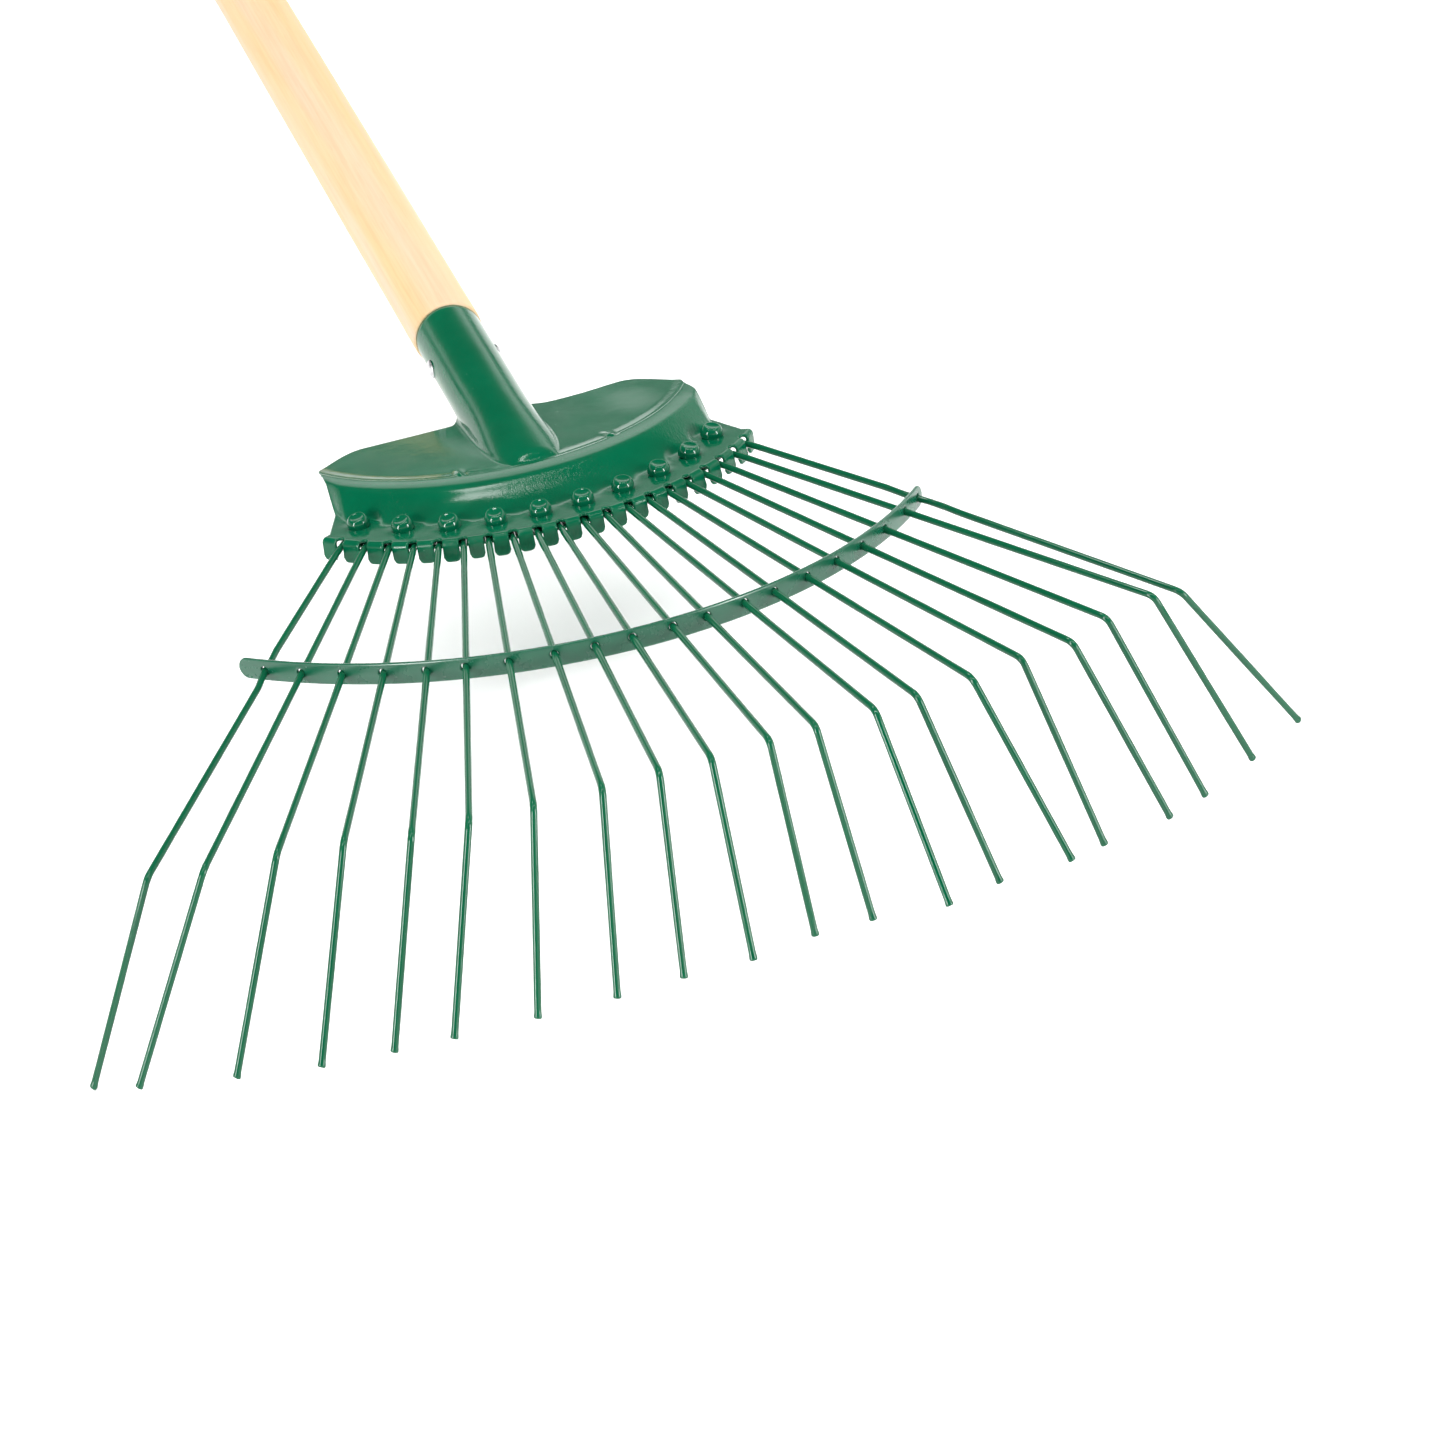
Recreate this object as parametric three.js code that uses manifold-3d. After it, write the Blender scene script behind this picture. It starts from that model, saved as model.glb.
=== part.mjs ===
import * as THREE from "three";
import Module from "manifold-3d";
import { mergeVertices } from "three/addons/utils/BufferGeometryUtils.js";

// Spring-tine lawn rake, lying on the floor: tips toward -Y, handle toward +Y.
// The head is laid out flat first (flange level, tines toward -Y), then the
// whole rake is tilted so that the outer tine tips and the handle butt touch z = 0.
// All lengths in millimetres, all angles in degrees unless a name says otherwise.

const TINES = 20;
const WIRE_D = 2.5;
const WIRE_SIDES = 8;
const GAP = 0.3;
const MERGE_WITHIN = 1e-4;

const SHEET = 1.2;
const FLANGE_TOP = WIRE_D / 2 + GAP + SHEET;
const PLATEAU_TOP = 11;

const ROOT_R = 102.9;
const ROOT_HALF_ANGLE = 45.4;
const ROOT_END_SPREAD = 3.7;

const SHANK_HALF_ANGLE = 29.6;
const SHANK_END_SPREAD = 7;
const SHANK_DROP = 5.7;
const SHANK_END_DROP = 6.4;
const SHANK_LENGTH = 187;
const SHANK_END_CUT = 1;

const LEG_LENGTH = 67;
const LEG_END_EXTRA = 12;
const LEG_SLOPE = 72.6;
const LEG_END_EASE = 9.9;
const LEG_TURN_OUT = 64;
const ELBOW_R = 8;
const ELBOW_STEPS = 5;
const LOOP_STEPS = 9;
const BEND_BACK = 3.5;
const LEFT_KINK = [[-11, 1.6], [-5, 1.2], [5, 0.8], [11, 0]];
const RIGHT_KINK = [[-13, 2.2], [-5, 1.8], [5, 2.6], [11, 2.6], [19, 2]];

// The wires were bent and hung one at a time, so each sits a little off the
// regular fan: sideways swing, extra length, sideways lean and forward kick of the leg.
const SWING = [1, -0.3, 0, 0, 0.3, -0.4, -0.2, 0.6, 0.5, 0, 0.4, -0.3, 0.3, -0.6, 0, 0.5, 0.7, 1.2, 2.4, -1];
const REACH = [2, 2, -1, -1, 2, 2, 2, 2, 1, 1, 0, -1, 0, -1, -1, -2, 0, -5, -4, 0];
const LEAN = [2, -2, 1, 2, -1, -4, -2, -2, -2, 0, 0, 0, -2, 1, 1, -4, -1, -5, -2, 7];
const KICK = [-1, 5, 6, 8, 0, 4, -2, -3, -4, -3, -8, -5, 7, -1, 5, -2, -2, 1, -2, 0];

const BAR_REACH = 93.7;
const BAR_SAG = 74.2;
const BAR_END_LIFT = 2.5;
const BAR_HEIGHT = 7.8;
const BAR_THICK = 1.3;
const BAR_LEFT_END = -1.045;
const BAR_RIGHT_END = 1.01;
const BAR_DROP = 0.9;
const BAR_STEPS = 26;
const BAR_END_SIDES = 16;
const BAR_SPAN_RATIO = 1.3;
const CROSSING_PASSES = 6;
const HOLE_SIDES = 8;
const BAR_HOLE_D = WIRE_D + 2 * GAP;

const COMB_R = 98.6;
const COMB_CENTRE_Y = 95;
const COMB_HALF_ANGLE = 57.4;
const TOOTH_END_Z = -5.4;
const BEND_R = 2;
const BEND_TURNS = [30, 60, 90];
const SHEET_COLUMNS = 34;
const NOTCH_W = 3.4;
const NOTCH_TOP_Z = 1.9;
const NOTCH_BEHIND = 5;
const NOTCH_DEPTH = 12;
const TOOTH_CORNER_R = 1.5;

const FLANGE_REAR_R = 81.5;
const FLANGE_REAR_CENTRE_Y = 101;
const FLANGE_REAR_HALF_ANGLE = 63;
const CREASE_R = 79.8;
const CREASE_CENTRE_Y = 120.8;
const CREASE_HALF_ANGLE = 63.6;
const PLATEAU_REAR_Y = 105;
const PLATEAU_CORNER_X = 47;
const CORNER_MARGIN = 0.4;
const CORNER_PULL = 0.9;

// From the crease to the flange: a rounded shoulder first, then a fall that eases out.
const SLOPE_STEPS = 6;
const SHOULDER_SHARE = 0.35;
const SHOULDER_FALL = 0.2144;
const TOE_POWER = 1.72;

const RIVET_R = 84;
const RIVET_CENTRE_Y = 94.6;
const RIVET_HALF_ANGLE = 49.4;
const RIVET_END_SPREAD = 4.5;
const RIVET_SHANK_D = 4.4;
const RIVET_BASE_D = 8.8;
const RIVET_TOP_D = 6.8;
const RIVET_HEAD_H = 4.3;
const RIVET_RIM_H = 1;
const RIVET_TAPER_H = 3;
const RIVET_DISH = 0.2;
const RIVET_TAIL_D = 7.6;
const RIVET_TAIL_H = 1.6;
const RIVET_SIDES = 10;
const ROUND_HOLE_SIDES = 12;
const LOOP_CLEARANCE = 0.4;
const LOOP_R = RIVET_SHANK_D / 2 + LOOP_CLEARANCE + WIRE_D / 2;

const CLAMP_WIDTH = 14;
const CLAMP_HALF_ANGLE = 58;
const CLAMP_STEPS = 20;
const CLAMP_TOP = -(WIRE_D / 2 + GAP);

const SOCKET_D = 26.6;
const SOCKET_SLOPE = 13.7;
const SOCKET_AXIS_Y = 150;
const SOCKET_AXIS_Z = 25.8;
const SOCKET_MOUTH = 10.5;
const SOCKET_FRONT = -54;
const SOCKET_SIDES = 32;
const SEAM_W = 1.2;
const SEAM_OVERRUN = 1.4;
const RIDGE_FRONT = -109.5;

const HANDLE_D = 28;
const HANDLE_LENGTH = 1350;
const HANDLE_TENON = 44;
const HANDLE_SIDES = 32;
const TENON_CHAMFER = { inset: 2, length: 3 };
const MOUTH_CHAMFER = 0.8;
const BUTT_FLAT_D = 18;
// Rounding of the butt: how far in from the side, how far up from the end.
const BUTT_ROUNDING = [[0, 12], [0.8, 7], [2.6, 2.5]];
const CROSS_PIN_D = 4;
const CROSS_HEAD_D = 7.5;
const CROSS_HEAD_H = 1.5;
const CROSS_PIN_SIDES = 16;
// Outline of a domed head: shares of its radius and of its height, from rim to crown.
const DOME = [[1, 0], [0.9, 0.47], [0.55, 0.87], [0, 1]];
const CROSS_PIN_S = -11;

const GREEN = { color: 0x0f6b4a, roughness: 0.28, metalness: 0.1 };
const WOOD = { color: 0xf1dcb8, roughness: 0.6, metalness: 0 };
const STEEL = { color: 0xb9bcc0, roughness: 0.35, metalness: 0.9 };

const wasm = await Module();
wasm.setup();

const rad = (degrees) => (degrees * Math.PI) / 180;
const vec = (x, y, z) => new THREE.Vector3(x, y, z);

// A point on an arc about (0, centreY), measured from straight ahead.
function arcPoint(centreY, radius, degrees) {
  return [radius * Math.sin(rad(degrees)), centreY - radius * Math.cos(rad(degrees))];
}

// ---- solids from three.js geometry, joined and cut by manifold ----

function toManifold(geometry) {
  const plain = geometry.clone();
  plain.deleteAttribute("normal");
  plain.deleteAttribute("uv");
  const merged = mergeVertices(plain, MERGE_WITHIN);
  return new wasm.Manifold(new wasm.Mesh({
    numProp: 3,
    vertProperties: Float32Array.from(merged.attributes.position.array),
    triVerts: Uint32Array.from(merged.index.array),
  }));
}

function toGeometry(manifold) {
  const mesh = manifold.getMesh();
  const geometry = new THREE.BufferGeometry();
  const points = [];
  for (let i = 0; i < mesh.vertProperties.length; i += mesh.numProp) {
    points.push(mesh.vertProperties[i], mesh.vertProperties[i + 1], mesh.vertProperties[i + 2]);
  }
  geometry.setAttribute("position", new THREE.Float32BufferAttribute(points, 3));
  geometry.setIndex(Array.from(mesh.triVerts));
  return geometry;
}

function closedGeometry(points, triangles) {
  const geometry = new THREE.BufferGeometry();
  const coordinates = points.flatMap((p) => [p.x, p.y, p.z]);
  geometry.setAttribute("position", new THREE.Float32BufferAttribute(coordinates, 3));
  geometry.setIndex(triangles);
  return geometry;
}

// A cylinder whose axis starts at a point and runs along a direction.
function rod(start, direction, length, radius, sides) {
  const geometry = new THREE.CylinderGeometry(radius, radius, length, sides);
  geometry.translate(0, length / 2, 0);
  const turn = new THREE.Quaternion().setFromUnitVectors(vec(0, 1, 0), direction.clone().normalize());
  geometry.applyQuaternion(turn);
  geometry.translate(start.x, start.y, start.z);
  return geometry;
}

// An outline of radius and height pairs, turned about the Y axis.
function turned(outline, sides) {
  return new THREE.LatheGeometry(outline.map(([x, y]) => new THREE.Vector2(x, y)), sides);
}

// A flat outline pushed up along +Z.
function prism(outline, bottom, height, holes = []) {
  const shape = new THREE.Shape(outline.map(([x, y]) => new THREE.Vector2(x, y)));
  holes.forEach(({ x, y, r }) => {
    const hole = new THREE.Path();
    hole.absarc(x, y, r, 0, 2 * Math.PI, true);
    shape.holes.push(hole);
  });
  const options = { depth: height, bevelEnabled: false, curveSegments: ROUND_HOLE_SIDES / 2 + 2 };
  const geometry = new THREE.ExtrudeGeometry(shape, options);
  geometry.translate(0, 0, bottom);
  return geometry;
}

// A route through a list of points. A section swept along it stays upright when
// an up direction is given, and otherwise turns as little as it can.
class Route extends THREE.Curve {
  constructor(points, up = null) {
    super();
    this.points = points;
    this.up = up;
  }

  getPointAt(t) {
    const place = t * (this.points.length - 1);
    const low = Math.min(Math.floor(place), this.points.length - 2);
    return this.points[low].clone().lerp(this.points[low + 1], place - low);
  }

  getSpacedPoints(steps) {
    return Array.from({ length: steps + 1 }, (unused, i) => this.getPointAt(i / steps));
  }

  headingAt(i) {
    const here = this.points[i];
    const heading = vec(0, 0, 0);
    if (i > 0) {
      heading.add(here.clone().sub(this.points[i - 1]).normalize());
    }
    if (i < this.points.length - 1) {
      heading.add(this.points[i + 1].clone().sub(here).normalize());
    }
    return heading.normalize();
  }

  computeFrenetFrames() {
    const tangents = this.points.map((unused, i) => this.headingAt(i));
    const normals = [];
    const binormals = [];
    let carried = this.up ?? vec(0, 0, 1);
    for (const heading of tangents) {
      const normal = carried.clone().addScaledVector(heading, -carried.dot(heading)).normalize();
      normals.push(normal);
      binormals.push(heading.clone().cross(normal));
      carried = this.up ?? normal;
    }
    return { tangents, normals, binormals };
  }
}

function sweep(section, points, up = null) {
  const options = { steps: points.length - 1, extrudePath: new Route(points, up), curveSegments: 1 };
  return new THREE.ExtrudeGeometry(section, options);
}

function roundSection(radius, sides) {
  const corners = Array.from({ length: sides }, (unused, k) => {
    const a = (2 * Math.PI * (k + 0.5)) / sides;
    return new THREE.Vector2(radius * Math.cos(a), radius * Math.sin(a));
  });
  return new THREE.Shape(corners);
}

// ---- tine layout ----

const fanShare = (index) => (2 * index) / (TINES - 1) - 1;

// A wire of the regular fan at u, from -1 at the left end to 1 at the right end.
function layTine(u, swing = 0, reach = 0, lean = 0, kick = 0) {
  const rootAngle = rad(u * (ROOT_HALF_ANGLE + ROOT_END_SPREAD * u * u));
  const root = vec(ROOT_R * Math.sin(rootAngle), ROOT_R * (1 - Math.cos(rootAngle)), 0);
  const azimuth = u * (SHANK_HALF_ANGLE + SHANK_END_SPREAD * u * u);
  const drop = SHANK_DROP + SHANK_END_DROP * u * u;
  const regular = fanDirection(azimuth, drop);
  const shank = fanDirection(azimuth + swing, drop);
  const elbow = root.clone().addScaledVector(shank, SHANK_LENGTH - SHANK_END_CUT * u * u + reach);
  const leg = fanDirection(azimuth + LEG_TURN_OUT * u, LEG_SLOPE - LEG_END_EASE * u * u);
  const side = regular.clone().cross(leg).normalize();
  leg.addScaledVector(side, Math.tan(rad(lean)));
  leg.addScaledVector(regular, Math.tan(rad(kick)));
  leg.normalize();
  const tip = elbow.clone().addScaledVector(leg, LEG_LENGTH + LEG_END_EXTRA * u * u);
  return { u, root, shank, elbow, leg, tip };
}

function fanDirection(azimuth, drop) {
  const level = Math.cos(rad(drop));
  return vec(Math.sin(rad(azimuth)) * level, -Math.cos(rad(azimuth)) * level, -Math.sin(rad(drop)));
}

// Where a straight shank has come as far forward as a given Y.
function shankAtY(t, y) {
  return t.root.clone().lerp(t.elbow, (y - t.root.y) / (t.elbow.y - t.root.y));
}

// Middle line of the spacer bar, which follows the regular fan.
function barPoint(u) {
  const y = -(BAR_REACH - BAR_SAG * u * u + BAR_END_LIFT * u ** 4);
  const point = shankAtY(layTine(u), y);
  point.z -= BAR_DROP * (1 - u * u);
  return point;
}

// Where a wire that hangs a little off the fan goes through the spacer bar.
function barCrossing(t) {
  let u = t.u;
  let crossing = shankAtY(t, barPoint(u).y);
  for (let pass = 0; pass < CROSSING_PASSES; pass += 1) {
    u += (crossing.x - barPoint(u).x) / (BAR_SPAN_RATIO * BAR_REACH);
    crossing = shankAtY(t, barPoint(u).y);
  }
  return crossing;
}

const tines = Array.from({ length: TINES }, (unused, index) => {
  const t = layTine(fanShare(index), SWING[index], REACH[index], LEAN[index], KICK[index]);
  return { ...t, bar: barCrossing(t) };
});

// One rivet stands between the two wires of each hairpin, on its own arc.
const rivetCentres = Array.from({ length: TINES / 2 }, (unused, pair) => {
  const side = (4 * pair) / (TINES - 2) - 1;
  const angle = side * (RIVET_HALF_ANGLE + RIVET_END_SPREAD * side * side);
  const [x, y] = arcPoint(RIVET_CENTRE_Y, RIVET_R, angle);
  return vec(x, y, 0);
});

// ---- spring wires ----

// Half of a hairpin: from the loop tangent out to the tine tip.
function halfHairpin(index, centre, turnSide) {
  const t = tines[index];
  const heading = vec(t.shank.x, t.shank.y, 0).normalize();
  const inner = t.root.clone().addScaledVector(heading, -BEND_BACK);
  const toInner = inner.clone().sub(centre);
  const spread = Math.acos(LOOP_R / toInner.length());
  const tangentAngle = Math.atan2(toInner.y, toInner.x) + turnSide * spread;
  const points = [inner, t.root.clone().addScaledVector(t.shank, BEND_BACK)];
  if (Math.abs(t.u) === 1) {
    points.push(...retainingKink(t));
  }
  const bend = t.shank.angleTo(t.leg);
  const cut = ELBOW_R * Math.tan(bend / 2);
  const start = t.elbow.clone().addScaledVector(t.shank, -cut);
  const end = t.elbow.clone().addScaledVector(t.leg, cut);
  points.push(...new THREE.QuadraticBezierCurve3(start, t.elbow, end).getPoints(ELBOW_STEPS));
  points.push(t.tip);
  return { tangentAngle, points };
}

// The outermost wires bow outward up to the spacer bar and are joggled as they leave
// it, which stops the bar sliding along the fan.
function retainingKink(t) {
  const joggle = t.u < 0 ? LEFT_KINK : RIGHT_KINK;
  return joggle.map(([along, aside]) => {
    const point = t.bar.clone().addScaledVector(t.shank, along);
    point.x += t.u * aside;
    return point;
  });
}

function hairpin(pair) {
  const centre = rivetCentres[pair];
  const left = halfHairpin(2 * pair, centre, -1);
  const right = halfHairpin(2 * pair + 1, centre, 1);
  const turn = (right.tangentAngle - left.tangentAngle - 4 * Math.PI) % (2 * Math.PI);
  const loop = [];
  for (let i = 0; i <= LOOP_STEPS; i += 1) {
    const a = left.tangentAngle + (turn * i) / LOOP_STEPS;
    loop.push(vec(centre.x + LOOP_R * Math.cos(a), centre.y + LOOP_R * Math.sin(a), 0));
  }
  const points = [...left.points.reverse(), ...loop, ...right.points];
  return sweep(roundSection(WIRE_D / 2, WIRE_SIDES), points);
}

// ---- pressed head plate with its rolled socket ----

const alongSocket = vec(0, Math.cos(rad(SOCKET_SLOPE)), Math.sin(rad(SOCKET_SLOPE)));
const socketPoint = (s) => vec(0, SOCKET_AXIS_Y, SOCKET_AXIS_Z).addScaledVector(alongSocket, s);

// Share of the drop from plateau to flange reached at share k of the way.
function slopeFall(k) {
  if (k < SHOULDER_SHARE) {
    return SHOULDER_FALL * (k / SHOULDER_SHARE) ** 2;
  }
  return 1 - (1 - SHOULDER_FALL) * ((1 - k) / (1 - SHOULDER_SHARE)) ** TOE_POWER;
}

// One cross-section of the sheet, from the straight rear edge to the tooth ends.
function sheetProfile(a) {
  const [creaseX, creaseY] = arcPoint(CREASE_CENTRE_Y, CREASE_R, a * CREASE_HALF_ANGLE);
  const [footX, footY] = arcPoint(FLANGE_REAR_CENTRE_Y, FLANGE_REAR_R, a * FLANGE_REAR_HALF_ANGLE);
  const combAngle = a * COMB_HALF_ANGLE;
  const out = vec(Math.sin(rad(combAngle)), -Math.cos(rad(combAngle)), 0);
  const [edgeX, edgeY] = arcPoint(COMB_CENTRE_Y, COMB_R, combAngle);
  const endX = CREASE_R * Math.sin(rad(CREASE_HALF_ANGLE));
  const over = Math.max(0, Math.abs(creaseX) - PLATEAU_CORNER_X) / (endX + CORNER_MARGIN - PLATEAU_CORNER_X);
  const cornerDrop = 1 - Math.sqrt(Math.max(0, 1 - over * over));
  const rearY = PLATEAU_REAR_Y - (PLATEAU_REAR_Y - creaseY) * cornerDrop * CORNER_PULL;
  const points = [vec(creaseX, rearY, PLATEAU_TOP)];
  points.push(vec(creaseX, (rearY + creaseY) / 2, PLATEAU_TOP));
  const drop = PLATEAU_TOP - FLANGE_TOP;
  for (let i = 0; i <= SLOPE_STEPS; i += 1) {
    const k = i / SLOPE_STEPS;
    const z = PLATEAU_TOP - drop * slopeFall(k);
    points.push(vec(creaseX + (footX - creaseX) * k, creaseY + (footY - creaseY) * k, z));
  }
  const foot = points[points.length - 1];
  const bendStart = vec(edgeX, edgeY, FLANGE_TOP).addScaledVector(out, -BEND_R);
  points.push(foot.clone().lerp(bendStart, 0.5));
  points.push(bendStart);
  for (const turn of BEND_TURNS) {
    const bent = bendStart.clone().addScaledVector(out, BEND_R * Math.sin(rad(turn)));
    bent.z = FLANGE_TOP - BEND_R * (1 - Math.cos(rad(turn)));
    points.push(bent);
  }
  const last = points[points.length - 1].clone();
  last.z = TOOTH_END_Z;
  points.push(last);
  return points;
}

function pressedSheet() {
  const columns = SHEET_COLUMNS;
  const grid = [];
  for (let i = 0; i <= columns; i += 1) {
    grid.push(sheetProfile(-1 + (2 * i) / columns));
  }
  const rows = grid[0].length;
  const top = [];
  const under = [];
  for (let i = 0; i <= columns; i += 1) {
    for (let j = 0; j < rows; j += 1) {
      const across = grid[Math.min(i + 1, columns)][j].clone().sub(grid[Math.max(i - 1, 0)][j]);
      const down = grid[i][Math.min(j + 1, rows - 1)].clone().sub(grid[i][Math.max(j - 1, 0)]);
      const normal = down.cross(across).normalize();
      top.push(grid[i][j]);
      under.push(grid[i][j].clone().addScaledVector(normal, -SHEET));
    }
  }
  const points = [...top, ...under];
  const half = top.length;
  const at = (i, j) => i * rows + j;
  const triangles = [];
  const quad = (a, b, c, d) => triangles.push(a, b, c, a, c, d);
  for (let i = 0; i < columns; i += 1) {
    for (let j = 0; j < rows - 1; j += 1) {
      quad(at(i, j), at(i, j + 1), at(i + 1, j + 1), at(i + 1, j));
      quad(half + at(i, j), half + at(i + 1, j), half + at(i + 1, j + 1), half + at(i, j + 1));
    }
    quad(at(i, 0), at(i + 1, 0), half + at(i + 1, 0), half + at(i, 0));
    const j = rows - 1;
    quad(at(i, j), half + at(i, j), half + at(i + 1, j), at(i + 1, j));
  }
  for (let j = 0; j < rows - 1; j += 1) {
    quad(at(0, j), half + at(0, j), half + at(0, j + 1), at(0, j + 1));
    quad(at(columns, j), at(columns, j + 1), half + at(columns, j + 1), half + at(columns, j));
  }
  return closedGeometry(points, triangles);
}

// The slot that lets one wire out between two comb teeth, rounded at its top.
function notchCutter(t) {
  const half = NOTCH_W / 2;
  const r = TOOTH_CORNER_R;
  const bottom = TOOTH_END_Z;
  const outline = [];
  const below = bottom - BEND_R;
  outline.push([-half - r, below], [half + r, below], [half + r, bottom]);
  for (const a of [45, 90]) {
    outline.push([half + r * (1 - Math.sin(rad(a))), bottom + r * (1 - Math.cos(rad(a)))]);
  }
  const archZ = NOTCH_TOP_Z - half;
  for (let a = 0; a <= 180; a += 45) {
    outline.push([half * Math.cos(rad(a)), archZ + half * Math.sin(rad(a))]);
  }
  for (const a of [90, 45]) {
    outline.push([-half - r * (1 - Math.sin(rad(a))), bottom + r * (1 - Math.cos(rad(a)))]);
  }
  outline.push([-half - r, bottom]);
  const geometry = prism(outline, -NOTCH_BEHIND, NOTCH_DEPTH);
  geometry.rotateX(Math.PI / 2);
  geometry.rotateZ(Math.atan2(t.shank.x, -t.shank.y));
  geometry.translate(t.root.x, t.root.y, 0);
  return geometry;
}

function headPlate() {
  const outer = SOCKET_D / 2;
  const inner = outer - SHEET;
  const reach = SOCKET_MOUTH - RIDGE_FRONT;
  const round = toManifold(rod(socketPoint(RIDGE_FRONT), alongSocket, reach, outer, SOCKET_SIDES));
  let body = toManifold(pressedSheet()).add(round.subtract(belowPlateau()));
  const boreFront = RIDGE_FRONT + 2 * SHEET;
  body = body.subtract(toManifold(rod(socketPoint(boreFront), alongSocket, reach, inner, SOCKET_SIDES)));
  body = body.subtract(socketSeam());
  for (const t of tines) {
    body = body.subtract(toManifold(notchCutter(t)));
  }
  for (const c of rivetCentres) {
    const hole = rod(c, vec(0, 0, 1), PLATEAU_TOP, RIVET_SHANK_D / 2 + GAP, ROUND_HOLE_SIDES);
    body = body.subtract(toManifold(hole));
  }
  return toGeometry(body.subtract(crossPinHole()));
}

// Only the socket's upper half runs on over the plateau, where it dies out at the crease.
function belowPlateau() {
  const under = new THREE.BoxGeometry(2 * SOCKET_D, PLATEAU_REAR_Y, 3 * SOCKET_D);
  const front = socketPoint(SOCKET_FRONT);
  under.translate(0, front.y - PLATEAU_REAR_Y / 2, PLATEAU_TOP - SHEET / 2 - 1.5 * SOCKET_D);
  return toManifold(under);
}

// The rolled sheet does not quite meet along the underside of the socket.
function socketSeam() {
  const length = SOCKET_MOUTH - SOCKET_FRONT;
  const slit = new THREE.BoxGeometry(SEAM_W, length * SEAM_OVERRUN, SOCKET_D);
  slit.translate(0, length / 2, -SOCKET_D / 2);
  slit.rotateX(rad(SOCKET_SLOPE));
  const front = socketPoint(SOCKET_FRONT);
  slit.translate(0, front.y, front.z);
  return toManifold(slit);
}

function crossPinHole() {
  const start = socketPoint(CROSS_PIN_S);
  start.x = -SOCKET_D;
  return toManifold(rod(start, vec(1, 0, 0), 2 * SOCKET_D, CROSS_PIN_D / 2 + GAP, ROUND_HOLE_SIDES));
}

// ---- other pieces of the head ----

function clampPlate() {
  const front = [];
  const rear = [];
  for (let i = 0; i <= CLAMP_STEPS; i += 1) {
    const a = -CLAMP_HALF_ANGLE + (2 * CLAMP_HALF_ANGLE * i) / CLAMP_STEPS;
    front.push(arcPoint(RIVET_CENTRE_Y, RIVET_R + CLAMP_WIDTH / 2, a));
    rear.push(arcPoint(RIVET_CENTRE_Y, RIVET_R - CLAMP_WIDTH / 2, a));
  }
  const outline = [...front, ...rear.reverse()];
  const holes = rivetCentres.map((c) => ({ x: c.x, y: c.y, r: RIVET_SHANK_D / 2 + GAP }));
  return prism(outline, CLAMP_TOP - SHEET, SHEET, holes);
}

function rivet(centre) {
  const seat = FLANGE_TOP + GAP;
  const foot = CLAMP_TOP - SHEET - GAP;
  const shankR = RIVET_SHANK_D / 2;
  const tailR = RIVET_TAIL_D / 2;
  const baseR = RIVET_BASE_D / 2;
  const topR = RIVET_TOP_D / 2;
  const crown = seat + RIVET_HEAD_H - GAP;
  const outline = [
    [0, foot - RIVET_TAIL_H],
    [tailR * 0.68, foot - RIVET_TAIL_H * 0.8],
    [tailR, foot],
    [shankR, foot],
    [shankR, seat],
    [baseR, seat],
    [baseR, seat + RIVET_RIM_H],
    [topR + GAP, seat + RIVET_RIM_H * 1.5],
    [topR, seat + RIVET_TAPER_H],
    [topR - 3 * GAP, crown],
    [0, crown - RIVET_DISH],
  ];
  const geometry = turned(outline, RIVET_SIDES);
  geometry.rotateX(Math.PI / 2);
  geometry.translate(centre.x, centre.y, 0);
  return geometry;
}

// How far sideways a kinked wire goes through the bar.
function kinkAtBar(u) {
  if (Math.abs(u) < 1) {
    return 0;
  }
  const [before, after] = (u < 0 ? LEFT_KINK : RIGHT_KINK).slice(1, 3);
  return (u * (before[1] + after[1])) / 2;
}

function spacerBar() {
  const points = [];
  for (let i = 0; i <= BAR_STEPS; i += 1) {
    const point = barPoint(BAR_LEFT_END + ((BAR_RIGHT_END - BAR_LEFT_END) * i) / BAR_STEPS);
    points.push(point);
  }
  const h = BAR_HEIGHT / 2;
  const w = BAR_THICK / 2;
  const corners = [[-h, -w], [h, -w], [h, w], [-h, w]];
  const section = new THREE.Shape(corners.map(([x, y]) => new THREE.Vector2(x, y)));
  let body = toManifold(sweep(section, points, vec(0, 0, 1)));
  const ends = [[points[0], points[1]], [points[BAR_STEPS], points[BAR_STEPS - 1]]];
  for (const [end, inside] of ends) {
    const along = end.clone().sub(inside).normalize();
    const across = along.cross(vec(0, 0, 1)).normalize();
    const start = end.clone().addScaledVector(across, -w);
    body = body.add(toManifold(rod(start, across, BAR_THICK, h, BAR_END_SIDES)));
  }
  const holeR = BAR_HOLE_D / 2 / Math.cos(Math.PI / HOLE_SIDES);
  for (const t of tines) {
    const start = t.bar.clone().addScaledVector(t.shank, -BAR_HEIGHT / 2);
    start.x += kinkAtBar(t.u);
    body = body.subtract(toManifold(rod(start, t.shank, BAR_HEIGHT, holeR, HOLE_SIDES)));
  }
  return toGeometry(body);
}

// ---- wooden handle and its cross pin ----

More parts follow.
